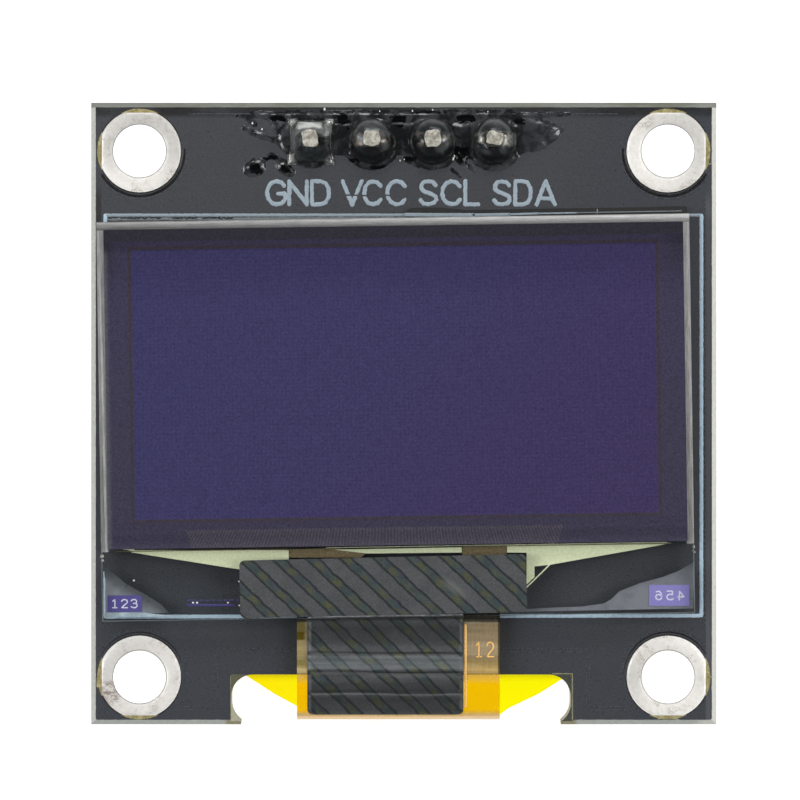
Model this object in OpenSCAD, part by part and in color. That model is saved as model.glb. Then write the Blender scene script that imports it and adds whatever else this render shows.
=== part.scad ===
// Small four-pin OLED display module.
// The board lies flat with the display facing +Z and the header towards +Y.
// The origin is the centre of the four mounting holes at the board's back face.

/* [Board] */
// Width of the board along X
board_w = 26.1; // [25.6:0.1:28]
// Height of the board along Y
board_h = 25.95; // [25.6:0.05:28]
// Thickness of the board
board_t = 1.2; // [1.0:0.1:1.6]
// How far the board's centre lies above the centre of the mounting holes
board_shift_y = 0.02; // [0:0.005:0.1]
// Width of the bevel that the score leaves along each edge
score_w = 0.22; // [0.1:0.02:0.3]
// Depth of the score in each face
score_d = 0.34; // [0.2:0.02:0.4]

/* [Mounting holes] */
// Hole spacing along X
hole_dx = 22.0; // [21.6:0.1:22.2]
// Hole spacing along Y
hole_dy = 21.9; // [21.6:0.1:22.0]
// Finished hole diameter
hole_d = 2.2; // [2.0:0.1:2.4]
// Diameter of the tinned ring around each hole
ring_d = 3.44; // [3.2:0.02:3.6]
// Distance from the pattern's centre to the flat sides of the rings along X
ring_flat_x = 12.58; // [12.4:0.02:12.66]
// Distance from the pattern's centre to the flat sides of the rings along Y
ring_flat_y = 12.55; // [12.4:0.01:12.6]

/* [Slot for the flex cable] */
// Left end of the slot
slot_x0 = -7.20; // [-7.6:0.02:-6.9]
// Right end of the slot
slot_x1 = 6.96; // [6.7:0.02:7.4]
// Inner edge of the slot
slot_y = -10.85; // [-11.0:0.01:-10.7]
// Radius of the slot's round ends
slot_r = 0.93; // [0.8:0.01:0.95]
// Straight length between the two rounds at each end of the slot
slot_straight = 0.25; // [0.1:0.05:0.4]
// How much of each round end is left as a lip at the board's edge
slot_lip = 0.4; // [0.2:0.05:0.5]

/* [Header] */
// Pitch of the header pins
pitch = 2.54; // [2.54]
// Height of the pin row above the centre of the holes
row_y = 11.37; // [11.30:0.01:11.40]
// Sideways shift of the pin row
row_shift = -0.06; // [-0.1:0.01:0.1]
// Side of the square pins
pin_w = 0.64; // [0.60:0.01:0.66]
// How far the pins stand above the board's front
pin_front = 1.3; // [1.1:0.1:1.8]
// How far the pins stand out below the plastic
pin_back = 6.0; // [5.5:0.5:8]
// Thickness of the header's plastic
housing_t = 2.5; // [2.3:0.1:2.6]
// Diameter of the round header pads
pad_d = 1.95; // [1.8:0.05:2.0]

/* [Display panel] */
// Width of the front glass
glass_w = 24.5; // [24.2:0.1:25]
// Height of the front glass, with its contact ledge
glass_h = 16.5; // [16.2:0.1:17]
// Thickness of each sheet of glass
glass_t = 0.5; // [0.4:0.05:0.55]
// Depth of the contact ledge below the cap glass
ledge_h = 2.88; // [2.7:0.02:3.0]
// Thickness of the polariser
polariser_t = 0.2; // [0.12:0.02:0.24]
// Width of the pixel area
active_w = 21.7; // [21.5:0.02:21.8]
// Height of the pixel area
active_h = 11.1; // [10.9:0.02:11.2]
// Turn of the panel on the board, in degrees
panel_turn = 0.85; // [-1:0.05:1]

/* [Flex cable] */
// Left edge of the flex neck
neck_x0 = -4.43; // [-4.6:0.01:-4.3]
// Right edge of the flex neck
neck_x1 = 3.98; // [3.9:0.01:4.2]
// Width of the tail behind the board
tail_w = 19.4; // [19:0.1:20]
// Thickness of the flex
flex_t = 0.1; // [0.08:0.01:0.12]
// Lowest point that the fold reaches
fold_y = -12.70; // [-12.8:0.01:-12.5]
// Outer radius of the fold's two bends
fold_r = 0.5; // [0.4:0.05:0.6]
// Where the tail ends behind the board
tail_end = -3.9; // [-4.4:0.1:-3.6]
// Number of soldered contacts on the tail
contacts = 30; // [24:1:30]
// Pitch of the contacts
contact_pitch = 0.62; // [0.6:0.01:0.63]

/* [Hidden] */
$fn = 64;

foil = 0.035;                     // copper pad with its tin
wall = 0.03;                      // plated wall of a hole
big = 60;

// Levels of the display panel, counted up from the board's front.
adhesive_t = 0.15;
seal_t = 0.05;
z_cap = board_t + adhesive_t;
z_seal = z_cap + glass_t;
z_sub = z_seal + seal_t;
z_top = z_sub + glass_t;
z_pol = z_top + polariser_t;
tape_t = 0.08;

// Centre of the front glass on the board.
panel_x = -0.43;
panel_y = -0.14;
glass_x = 0.095;                  // the glass sits off the middle of the pixel area
cap_low = -glass_h / 2 + ledge_h; // lower edge of the cap glass in the panel's own frame
active_x = 0.085;
active_y = 1.495;

// Header pads.
drill_r = 0.53;
barrel_r = drill_r - wall;
pad_y = 11.34;
function pin_x(i) = row_shift + (i - 1.5) * pitch;

// Flex levels: the front run lies against the back of the front glass.
flex_top = z_sub;
flex_low = -foil - flex_t;
bend_y = fold_y + fold_r;

// Parts on the back: x, y, turn, length, width, height.
capacitor_at = [
    [-9.6, 3.6, 90, 1.6, 0.8, 0.8],
    [-7.4, 2.6, 0, 1.6, 0.8, 0.8],
    [-5.0, -0.9, 90, 1.6, 0.8, 0.8],
    [-2.6, -0.9, 90, 1.6, 0.8, 0.8],
    [-0.2, -0.9, 90, 1.6, 0.8, 0.8],
    [2.2, -0.9, 90, 1.6, 0.8, 0.8],
    [9.4, 4.2, 90, 2.0, 1.25, 0.9],
    [6.5, 4.2, 90, 2.0, 1.25, 0.9]];
resistor_at = [
    [-1.2, 7.6, 0, 1.6, 0.8, 0.45],
    [2.2, 7.6, 0, 1.6, 0.8, 0.45],
    [-3.6, 4.2, 90, 1.6, 0.8, 0.45],
    [-1.4, 4.2, 90, 1.6, 0.8, 0.45],
    [0.8, 4.2, 90, 1.6, 0.8, 0.45],
    [4.6, -0.9, 90, 1.6, 0.8, 0.45],
    [8.4, 0.2, 0, 1.6, 0.8, 0.45]];
regulator_x = -6.8;
regulator_y = 6.8;
diode_x = -8.9;
diode_y = -0.8;

// A plate with rounded corners, drawn about its own centre and standing on z = 0.
module rounded_plate(w, h, t, r) {
    linear_extrude(t) {
        square([w - 2 * r, h], center = true);
        square([w, h - 2 * r], center = true);
        for (sx = [-1, 1], sy = [-1, 1])
            translate([sx * (w / 2 - r), sy * (h / 2 - r)]) circle(r, $fn = 32);
    }
}

module on_panel() {
    translate([panel_x, panel_y, 0]) rotate([0, 0, panel_turn]) children();
}

// Profile of a scored and snapped edge pair: a bevel on each face with a broken web between.
module scored_profile(w) {
    polygon([
        [-w / 2 + score_w, 0], [w / 2 - score_w, 0],
        [w / 2, score_d], [w / 2, board_t - score_d],
        [w / 2 - score_w, board_t], [-w / 2 + score_w, board_t],
        [-w / 2, board_t - score_d], [-w / 2, score_d]]);
}

module board_blank() {
    translate([0, board_shift_y, 0])
        intersection() {
            rotate([90, 0, 0]) linear_extrude(big, center = true) scored_profile(board_w);
            rotate([90, 0, 90]) linear_extrude(big, center = true) scored_profile(board_h);
        }
}

module slot_cut() {
    y = slot_y - slot_r;
    translate([0, 0, -1]) linear_extrude(board_t + 2) {
        for (x = [slot_x0 + slot_r, slot_x1 - slot_r], dy = [0, slot_straight]) translate([x, y - dy]) circle(slot_r);
        for (x = [slot_x0, slot_x1 - 2 * slot_r]) translate([x, y - slot_straight]) square([2 * slot_r, slot_straight]);
        translate([slot_x0 + slot_r, y - 3]) square([slot_x1 - slot_x0 - 2 * slot_r, slot_r + 3]);
        translate([slot_x0 + slot_lip, y - 3]) square([slot_x1 - slot_x0 - 2 * slot_lip, 3 - slot_straight - slot_r * 0.78]);
    }
}

module pcb() {
    color([0.10, 0.10, 0.11])
        difference() {
            board_blank();
            for (sx = [-1, 1], sy = [-1, 1])
                translate([sx * hole_dx / 2, sy * hole_dy / 2, -1]) cylinder(board_t + 2, r = hole_d / 2 + wall);
            for (i = [0:3]) translate([pin_x(i), pad_y, -1]) cylinder(board_t + 2, r = drill_r);
            slot_cut();
        }
}

// Tinned ring on both faces joined by the plated wall of the hole.
module mount_pad(sx, sy) {
    r = hole_d / 2;
    color([0.86, 0.85, 0.82])
        intersection() {
            translate([sx * hole_dx / 2, sy * hole_dy / 2, 0])
                rotate_extrude() polygon([
                    [r, -foil], [ring_d / 2, -foil], [ring_d / 2, 0], [r + wall, 0],
                    [r + wall, board_t], [ring_d / 2, board_t], [ring_d / 2, board_t + foil], [r, board_t + foil]]);
            translate([-ring_flat_x, -ring_flat_y, -1]) cube([2 * ring_flat_x, 2 * ring_flat_y, board_t + 2]);
        }
}

module pin_pad(i) {
    color([0.80, 0.78, 0.72])
        translate([pin_x(i), pad_y, 0])
            if (i == 0) {
                difference() {
                    union() {
                        for (z = [-foil, board_t]) translate([-pad_d / 2, -pad_d / 2, z]) cube([pad_d, pad_d, foil]);
                        cylinder(board_t, r = drill_r);
                    }
                    translate([0, 0, -1]) cylinder(board_t + 2, r = barrel_r);
                }
            } else {
                rotate_extrude() polygon([
                    [barrel_r, -foil], [pad_d / 2, -foil], [pad_d / 2, 0], [drill_r, 0],
                    [drill_r, board_t], [pad_d / 2, board_t], [pad_d / 2, board_t + foil], [barrel_r, board_t + foil]]);
            }
}

// Solder: a dome round the pin on the front and a plug in the hole.
joint_h = pin_front - 0.33;
function dome(steps, r0, r1, bulge) = [for (k = [0:steps])
    let (t = k / steps) [r0 + (r1 - r0) * pow(1 - pow(t, bulge), 1 / 1.15), board_t + foil + joint_h * t]];
function flare(steps, r0, r1) = [for (k = [0:steps])
    let (t = k / steps) [r0 + (r1 - r0) * pow(1 - t, 2.4), board_t + foil + joint_h * t]];

module solder_joint(i) {
    color([0.55, 0.56, 0.56])
        difference() {
            translate([pin_x(i), pad_y, 0]) {
                if (i == 0) {
                    intersection() {
                        rotate_extrude() polygon(concat([[0, board_t + foil]], flare(8, 0.50, 1.36), [[0, board_t + foil + joint_h]]));
                        translate([-pad_d / 2 + 0.01, -pad_d / 2 + 0.01, 0]) cube([pad_d - 0.02, pad_d - 0.02, 9]);
                    }
                } else {
                    rotate_extrude() polygon(concat([[0, board_t + foil]], dome(8, 0.47, pad_d / 2 - 0.01, 1.7), [[0, board_t + foil + joint_h]]));
                }
                translate([0, 0, -foil]) cylinder(board_t + 2 * foil + 0.01, r = barrel_r);
            }
            translate([pin_x(i) - pin_w / 2, row_y - pin_w / 2, -5]) cube([pin_w, pin_w, 20]);
        }
}

module pin_side(top, low) {
    c = pin_w * 0.24;
    l = pin_w * 0.45;
    linear_extrude(pin_w, center = true) polygon([
        [-pin_w / 2 + c, low], [pin_w / 2 - c, low], [pin_w / 2, low + l], [pin_w / 2, top - l * 0.6],
        [pin_w / 2 - c * 0.6, top], [-pin_w / 2 + c * 0.6, top], [-pin_w / 2, top - l * 0.6], [-pin_w / 2, low + l]]);
}

module header_pin(i) {
    top = board_t + pin_front;
    low = -foil - housing_t - pin_back;
    color([0.83, 0.80, 0.70])
        translate([pin_x(i), row_y, 0])
            intersection() {
                rotate([90, 0, 0]) pin_side(top, low);
                rotate([90, 0, 90]) pin_side(top, low);
            }
}

module header_housing() {
    c = 0.45;
    d = 2.46;
    color([0.06, 0.06, 0.06])
        translate([0, row_y, -foil - housing_t])
            linear_extrude(housing_t)
                difference() {
                    union() {
                        for (i = [0:3]) translate([pin_x(i), 0]) polygon([
                            [-pitch / 2 + c, -d / 2], [pitch / 2 - c, -d / 2], [pitch / 2, -d / 2 + c], [pitch / 2, d / 2 - c],
                            [pitch / 2 - c, d / 2], [-pitch / 2 + c, d / 2], [-pitch / 2, d / 2 - c], [-pitch / 2, -d / 2 + c]]);
                        translate([pin_x(0) - 0.5, -d / 2 + c]) square([3 * pitch + 1, d - 2 * c]);
                    }
                    for (i = [0:3]) translate([pin_x(i), 0]) square(pin_w, center = true);
                }
}

// Adhesive strips between the board and the cap glass. The upper right one shows past the glass.
module panel_adhesive() {
    color([0.03, 0.03, 0.035])
        translate([0, 0, board_t]) {
            linear_extrude(adhesive_t) polygon([
                [0.1, 5.4], [11.78, 5.4], [11.78, 8.60], [11.70, 8.64], [11.30, 8.64], [9.90, 8.605], [8.40, 8.58],
                [7.20, 8.56], [5.30, 8.54], [4.40, 8.52], [3.20, 8.50], [2.60, 8.48], [2.20, 8.53], [1.55, 8.587],
                [0.50, 8.585], [0.25, 8.56], [0.10, 8.44]]);
            translate([-11.4, 4.6, 0]) cube([9.4, 2.8, adhesive_t]);
            translate([-11.2, -4.8, 0]) cube([21.8, 3.4, adhesive_t]);
        }
}

module cap_glass() {
    w = active_w + 0.9;
    h = active_h + 0.9;
    color([0.75, 0.80, 0.80, 0.5])
        on_panel() difference() {
            translate([glass_x - glass_w / 2, cap_low, z_cap]) cube([glass_w, glass_h / 2 - cap_low, glass_t]);
            translate([active_x - w / 2, active_y - h / 2, z_seal - 0.25]) cube([w, h, 1]);
        }
}

module desiccant_sheet() {
    color([0.88, 0.87, 0.82])
        on_panel() translate([active_x, active_y, z_seal - 0.25]) rounded_plate(active_w - 1.4, active_h - 1.4, 0.12, 0.6);
}

module edge_seal() {
    w = active_w + 0.9;
    h = active_h + 0.9;
    m = 0.12;
    color([0.55, 0.50, 0.35])
        on_panel() difference() {
            translate([glass_x - glass_w / 2 + m, cap_low + m, z_seal]) cube([glass_w - 2 * m, glass_h / 2 - cap_low - 2 * m, seal_t]);
            translate([active_x - w / 2, active_y - h / 2, z_seal - 1]) cube([w, h, 3]);
        }
}

module emitter_stack() {
    t = 0.02;
    color([0.22, 0.18, 0.38])
        on_panel() translate([active_x - active_w / 2, active_y - active_h / 2, z_sub - t]) cube([active_w, active_h, t]);
}

module substrate_glass() {
    color([0.70, 0.76, 0.76, 0.5])
        on_panel() translate([glass_x - glass_w / 2, -glass_h / 2, z_sub]) cube([glass_w, glass_h, glass_t]);
}

module polarizer() {
    left = 0.30;
    right = 0.28;
    top = 0.34;
    low = cap_low + 0.1;
    color([0.09, 0.08, 0.14])
        on_panel() translate([glass_x - glass_w / 2 + left, low, z_top])
            cube([glass_w - left - right, glass_h / 2 - top - low, polariser_t]);
}

module driver_chip() {
    color([0.35, 0.36, 0.40])
        on_panel() translate([-0.2 - 3.4, -6.75, z_sub - 0.3]) cube([6.8, 0.9, 0.3]);
}

module ledge_tape() {
    color([0.24, 0.25, 0.27])
        translate([-0.85, -7.11, z_top]) rotate([0, 0, 1.3]) rounded_plate(11.85, 2.39, tape_t, 0.22);
}

// Bent sheet between two radii, turning about the X direction through the given quadrant.
module bend(y, z, r, t, w, lower) {
    translate([0, y, z]) rotate([90, 0, 90])
        linear_extrude(w) intersection() {
            difference() { circle(r); circle(r - t); }
            translate([-r, lower ? -r : 0]) square([r, r]);
        }
}

// Outline of the tail behind the board, wider than the neck, with sloping shoulders.
module tail_outline() {
    half = tail_w / 2;
    mid = (neck_x0 + neck_x1) / 2;
    polygon([
        [neck_x0, bend_y], [neck_x0 - 0.04, bend_y], [neck_x0 - 0.04, bend_y - 0.08],
        [neck_x0 - 1.03, bend_y + 0.46], [neck_x0 - 2.17, bend_y + 1.2],
        [mid - half, bend_y + 1.2 + (half - (mid - neck_x0) - 2.17) * 0.55], [mid - half, tail_end],
        [mid + half, tail_end], [mid + half, bend_y + 1.0 + (half - (neck_x1 - mid) - 2.56) * 0.55],
        [neck_x1 + 2.56, bend_y + 1.0], [neck_x1 + 1.69, bend_y + 0.45], [neck_x1 + 0.40, bend_y - 0.17],
        [neck_x1 + 0.10, bend_y - 0.40], [neck_x1 + 0.04, bend_y - 0.48], [neck_x1 + 0.04, bend_y], [neck_x1, bend_y]]);
}

module flex_cable() {
    w = neck_x1 - neck_x0;
    color([0.85, 0.55, 0.05]) {
        translate([neck_x0, bend_y, flex_top - flex_t]) cube([w, -7.35 - bend_y, flex_t]);
        translate([neck_x0, 0, 0]) bend(bend_y, flex_top - fold_r, fold_r, flex_t, w, false);
        translate([neck_x0, fold_y, flex_low + fold_r]) cube([w, flex_t, flex_top - flex_low - 2 * fold_r]);
        translate([neck_x0, 0, 0]) bend(bend_y, flex_low + fold_r, fold_r, flex_t, w, true);
        translate([0, 0, flex_low]) linear_extrude(flex_t) tail_outline();
    }
}

// Tape over the front run of the flex, from the glass edge down into the first bend.
module flex_tape() {
    x0 = -4.0;
    x1 = 2.47;
    top = -8.53;
    reach = 42;
    r = fold_r + tape_t;
    color([0.24, 0.25, 0.27]) {
        translate([x0, bend_y, flex_top]) cube([x1 - x0, top - bend_y, tape_t]);
        translate([x0, bend_y, flex_top - fold_r]) rotate([90, 0, 90])
            linear_extrude(x1 - x0) intersection() {
                difference() { circle(r); circle(fold_r); }
                polygon([[0, 0], [0, 2 * r], [-2 * r * sin(reach), 2 * r * cos(reach)]]);
            }
    }
}

module flex_adhesive() {
    mid = (neck_x0 + neck_x1) / 2;
    color([0.78, 0.74, 0.62])
        translate([mid - tail_w / 2 + 0.6, slot_y + 2.0, -foil]) cube([tail_w - 1.2, 2.4, foil]);
}

// Solder over the ends of the tail's contacts, from the board's pads up onto the tail.
module flex_solder_row() {
    mid = (neck_x0 + neck_x1) / 2;
    y = tail_end;
    color([0.80, 0.80, 0.80])
        for (k = [0:contacts - 1])
            translate([mid + (k - (contacts - 1) / 2) * contact_pitch - 0.17, 0, 0])
                rotate([90, 0, 90]) linear_extrude(0.34) polygon([
                    [y, -foil], [y + 0.7, -foil], [y + 0.66, -0.07], [y + 0.45, -0.13], [y + 0.1, -0.21],
                    [y - 0.35, -0.235], [y - 0.9, -0.2], [y - 1.2, flex_low - 0.01], [y - 1.2, flex_low], [y, flex_low]]);
}

module place(p) {
    translate([p[0], p[1], -foil]) rotate([0, 0, p[2]]) children();
}

// Each chip's pads reach past its ends by lead_out; lands start under the end caps.
lead_out = 0.42;
module chip_pads(l, w) {
    for (s = [-1, 1]) translate([s * (l / 2 + lead_out / 2 - 0.15) - (lead_out + 0.3) / 2, -w / 2 - 0.05, 0])
        cube([lead_out + 0.3, w + 0.1, foil]);
}

module smd_pads() {
    mid = (neck_x0 + neck_x1) / 2;
    color([0.82, 0.80, 0.74]) {
        for (p = capacitor_at) place(p) chip_pads(p[3], p[4]);
        for (p = resistor_at) place(p) chip_pads(p[3], p[4]);
        for (q = [[-0.95, -1.25], [0.95, -1.25], [0, 1.25]])
            translate([regulator_x + q[0] - 0.35, regulator_y + q[1] - 0.5, -foil]) cube([0.7, 1.0, foil]);
        for (s = [-1, 1]) translate([diode_x + s * 1.25 - 0.4, diode_y - 0.35, -foil]) cube([0.8, 0.7, foil]);
        for (k = [0:contacts - 1])
            translate([mid + (k - (contacts - 1) / 2) * contact_pitch - 0.16, tail_end - 1.4, -foil]) cube([0.32, 2.3, foil]);
    }
}

// Fillets of solder that climb the end faces of each chip.
module chip_solder(l, w, h) {
    f = min(0.55 * h, 0.38);
    for (m = [0, 1]) mirror([m, 0, 0])
        translate([l / 2, w / 2 - 0.02, 0]) rotate([90, 0, 0]) linear_extrude(w - 0.04)
            polygon([[0, 0], [0.34, 0], [0.3, -0.05], [0.12, -0.45 * f], [0, -f]]);
}

module smd_solder() {
    color([0.78, 0.78, 0.78]) {
        for (p = capacitor_at) place(p) chip_solder(p[3], p[4], p[5]);
        for (p = resistor_at) place(p) chip_solder(p[3], p[4], p[5]);
    }
}

module chip(p, shade) {
    color(shade) place(p) translate([-p[3] / 2, -p[4] / 2, -p[5]]) cube([p[3], p[4], p[5]]);
}

// Gull-wing lead: a foot on the pad, a riser and a shoulder that meets the body.
module gull(out, rise, w) {
    t = 0.12;
    rotate([90, 0, 90]) translate([0, 0, -w / 2]) linear_extrude(w) polygon([
        [0, -rise], [0, -rise - t], [0.28, -rise - t], [0.40, -t], [out, -t], [out, 0],
        [0.30, 0], [0.19, -rise]]);
}

module regulator_body() {
    color([0.08, 0.08, 0.08])
        translate([regulator_x, regulator_y, -foil - 0.08]) intersection() {
            rotate([90, 0, 0]) linear_extrude(4, center = true)
                polygon([[-1.4, 0], [1.4, 0], [1.46, -0.5], [1.38, -1.02], [-1.38, -1.02], [-1.46, -0.5]]);
            rotate([90, 0, 90]) linear_extrude(4, center = true)
                polygon([[-0.6, 0], [0.6, 0], [0.66, -0.5], [0.57, -1.02], [-0.57, -1.02], [-0.66, -0.5]]);
        }
}

module regulator_leads() {
    color([0.80, 0.80, 0.80])
        translate([regulator_x, regulator_y, -foil]) {
            difference() {
                union() {
                    translate([0, 0.6, 0]) gull(0.82, 0.42, 0.4);
                    for (x = [-0.95, 0.95]) translate([x, -0.6, 0]) rotate([0, 0, 180]) gull(0.82, 0.42, 0.4);
                }
                translate([0, 0, -0.08]) rotate([90, 0, 90]) linear_extrude(8, center = true)
                    polygon([[-0.6, 0.5], [0.6, 0.5], [0.6, 0], [0.66, -0.5], [0.57, -1.02], [-0.57, -1.02], [-0.66, -0.5], [-0.6, 0]]);
            }
        }
}

module diode_body() {
    color([0.09, 0.09, 0.09])
        translate([diode_x, diode_y, -foil - 0.06]) intersection() {
            rotate([90, 0, 0]) linear_extrude(4, center = true)
                polygon([[-0.83, 0], [0.83, 0], [0.88, -0.42], [0.8, -0.88], [-0.8, -0.88], [-0.88, -0.42]]);
            rotate([90, 0, 90]) linear_extrude(4, center = true)
                polygon([[-0.6, 0], [0.6, 0], [0.64, -0.42], [0.57, -0.88], [-0.57, -0.88], [-0.64, -0.42]]);
        }
}

module diode_leads() {
    color([0.80, 0.80, 0.80])
        translate([diode_x, diode_y, -foil]) difference() {
            union() {
                for (a = [90, -90]) rotate([0, 0, a]) translate([0, 0.83, 0]) gull(0.62, 0.36, 0.35);
            }
            translate([0, 0, -0.06]) rotate([90, 0, 0]) linear_extrude(8, center = true)
                polygon([[-0.83, 0.5], [0.83, 0.5], [0.83, 0], [0.88, -0.42], [0.8, -0.88], [-0.8, -0.88], [-0.88, -0.42], [-0.83, 0]]);
        }
}

pcb();
mount_pad(-1, 1);  // mount_pad_tl
mount_pad(1, 1);  // mount_pad_tr
mount_pad(-1, -1);  // mount_pad_bl
mount_pad(1, -1);  // mount_pad_br
pin_pad(0);  // pin_pad_1
pin_pad(1);  // pin_pad_2
pin_pad(2);  // pin_pad_3
pin_pad(3);  // pin_pad_4
solder_joint(0);  // solder_joint_1
solder_joint(1);  // solder_joint_2
solder_joint(2);  // solder_joint_3
solder_joint(3);  // solder_joint_4
header_housing();
header_pin(0);  // header_pin_1
header_pin(1);  // header_pin_2
header_pin(2);  // header_pin_3
header_pin(3);  // header_pin_4
panel_adhesive();
cap_glass();
desiccant_sheet();
edge_seal();
emitter_stack();
substrate_glass();
polarizer();
driver_chip();
ledge_tape();
flex_cable();
flex_tape();
flex_adhesive();
flex_solder_row();
smd_pads();
smd_solder();
regulator_body();
regulator_leads();
diode_body();
diode_leads();
chip(capacitor_at[0], [0.62, 0.50, 0.36]);  // capacitor_1
chip(capacitor_at[1], [0.62, 0.50, 0.36]);  // capacitor_2
chip(capacitor_at[2], [0.62, 0.50, 0.36]);  // capacitor_3
chip(capacitor_at[3], [0.62, 0.50, 0.36]);  // capacitor_4
chip(capacitor_at[4], [0.62, 0.50, 0.36]);  // capacitor_5
chip(capacitor_at[5], [0.62, 0.50, 0.36]);  // capacitor_6
chip(capacitor_at[6], [0.58, 0.46, 0.33]);  // capacitor_7
chip(capacitor_at[7], [0.58, 0.46, 0.33]);  // capacitor_8
chip(resistor_at[0], [0.10, 0.10, 0.10]);  // resistor_1
chip(resistor_at[1], [0.10, 0.10, 0.10]);  // resistor_2
chip(resistor_at[2], [0.10, 0.10, 0.10]);  // resistor_3
chip(resistor_at[3], [0.10, 0.10, 0.10]);  // resistor_4
chip(resistor_at[4], [0.10, 0.10, 0.10]);  // resistor_5
chip(resistor_at[5], [0.10, 0.10, 0.10]);  // resistor_6
chip(resistor_at[6], [0.10, 0.10, 0.10]);  // resistor_7
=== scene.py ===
import math

import bmesh
import bpy
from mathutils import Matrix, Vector, noise as mnoise


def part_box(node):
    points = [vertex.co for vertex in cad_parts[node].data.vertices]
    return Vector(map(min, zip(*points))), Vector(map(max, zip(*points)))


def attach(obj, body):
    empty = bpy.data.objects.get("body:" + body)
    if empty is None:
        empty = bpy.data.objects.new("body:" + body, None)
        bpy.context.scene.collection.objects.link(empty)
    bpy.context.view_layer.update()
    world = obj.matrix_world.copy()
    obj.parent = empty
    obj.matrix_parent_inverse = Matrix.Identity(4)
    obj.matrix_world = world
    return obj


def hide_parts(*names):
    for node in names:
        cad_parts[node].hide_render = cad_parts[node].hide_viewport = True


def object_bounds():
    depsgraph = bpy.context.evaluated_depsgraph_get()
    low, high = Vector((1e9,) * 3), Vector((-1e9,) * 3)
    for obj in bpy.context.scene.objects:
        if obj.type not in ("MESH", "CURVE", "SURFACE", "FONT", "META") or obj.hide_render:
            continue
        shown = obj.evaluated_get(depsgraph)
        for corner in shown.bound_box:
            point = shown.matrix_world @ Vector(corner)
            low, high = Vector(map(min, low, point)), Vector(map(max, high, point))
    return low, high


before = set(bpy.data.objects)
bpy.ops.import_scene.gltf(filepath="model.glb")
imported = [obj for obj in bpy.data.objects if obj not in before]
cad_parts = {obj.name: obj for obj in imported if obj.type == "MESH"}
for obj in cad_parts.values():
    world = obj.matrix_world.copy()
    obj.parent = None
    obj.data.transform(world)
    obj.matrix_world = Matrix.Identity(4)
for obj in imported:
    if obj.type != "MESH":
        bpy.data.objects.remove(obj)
CAD_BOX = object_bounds()
MM = 0.001


def top(node):
    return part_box(node)[1] / MM


def low(node):
    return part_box(node)[0] / MM


FRONT = top("pcb").z            # front face of the board, mm
SUB_BACK, SUB_TOP = low("substrate_glass").z, top("substrate_glass").z
POL_TOP = top("polarizer").z
PINS = [((low("header_pin_%d" % k) + top("header_pin_%d" % k)) / 2).xy for k in (1, 2, 3, 4)]
PADS = [((low("pin_pad_%d" % k) + top("pin_pad_%d" % k)) / 2).xy for k in (1, 2, 3, 4)]
TIP = top("header_pin_1").z
EDGE_X, EDGE_Y1, EDGE_Y0 = top("pcb").x, top("pcb").y, low("pcb").y
TURN = math.radians(0.85)
GLASS_X = 0.095                 # the glass sits this far off the middle of the pixels
PANEL = ((low("substrate_glass") + top("substrate_glass")) / 2).xy - GLASS_X * Vector((math.cos(TURN), math.sin(TURN)))


# ------------------------------------------------------------------ node helpers
def node(nt, kind, props=None, **inputs):
    n = nt.nodes.new(kind)
    for k, v in (props or {}).items():
        setattr(n, k, v)
    for k, v in inputs.items():
        put(nt, n.inputs[int(k[1:])] if k[0] == "i" and k[1:].isdigit() else n.inputs[k.replace("_", " ")], v)
    return n


def put(nt, socket, v):
    if isinstance(v, bpy.types.NodeSocket):
        nt.links.new(v, socket)
    elif isinstance(v, (tuple, list)) and len(v) == 3 and socket.type == "RGBA":
        socket.default_value = (*v, 1)
    else:
        socket.default_value = v


def mt(nt, op, a, b=0.0, c=0.0, clamp=False):
    n = node(nt, "ShaderNodeMath", {"operation": op, "use_clamp": clamp})
    put(nt, n.inputs[0], a)
    put(nt, n.inputs[1], b)
    put(nt, n.inputs[2], c)
    return n.outputs[0]


def vm(nt, op, a, b=(0, 0, 0), scale=None):
    n = node(nt, "ShaderNodeVectorMath", {"operation": op})
    put(nt, n.inputs[0], a)
    put(nt, n.inputs[1], b)
    if scale is not None:
        n.inputs["Scale"].default_value = scale
    return n.outputs[0]


def mix(nt, fac, a, b, blend="MIX"):
    n = node(nt, "ShaderNodeMix", {"data_type": "RGBA", "blend_type": blend})
    put(nt, n.inputs[0], fac)
    put(nt, n.inputs[6], a)
    put(nt, n.inputs[7], b)
    return n.outputs[2]


def mixf(nt, fac, a, b):
    n = node(nt, "ShaderNodeMix", {"data_type": "FLOAT"})
    put(nt, n.inputs[0], fac)
    put(nt, n.inputs[2], a)
    put(nt, n.inputs[3], b)
    return n.outputs[0]


def step(nt, x, lo, hi, a=0.0, b=1.0, smooth=True):
    n = node(nt, "ShaderNodeMapRange", {"interpolation_type": "SMOOTHSTEP" if smooth else "LINEAR", "clamp": True})
    put(nt, n.inputs["Value"], x)
    n.inputs["From Min"].default_value = lo
    n.inputs["From Max"].default_value = hi
    n.inputs["To Min"].default_value = a
    n.inputs["To Max"].default_value = b
    return n.outputs[0]


def mm_coords(nt):
    return vm(nt, "SCALE", node(nt, "ShaderNodeTexCoord").outputs["Object"], scale=1000.0)


def sep(nt, v):
    n = node(nt, "ShaderNodeSeparateXYZ")
    put(nt, n.inputs[0], v)
    return n.outputs


def stretch(nt, v, s):
    return vm(nt, "MULTIPLY", v, s)


def noise(nt, v, scale, detail=3.0, rough=0.55, dist=0.0):
    n = node(nt, "ShaderNodeTexNoise", Scale=scale, Detail=detail, Roughness=rough, Distortion=dist)
    put(nt, n.inputs["Vector"], v)
    return n.outputs[0]


def voronoi(nt, v, scale, feature="F1", out="Distance", rnd=1.0):
    n = node(nt, "ShaderNodeTexVoronoi", {"feature": feature}, Scale=scale, Randomness=rnd)
    put(nt, n.inputs["Vector"], v)
    return n.outputs[out]


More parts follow.
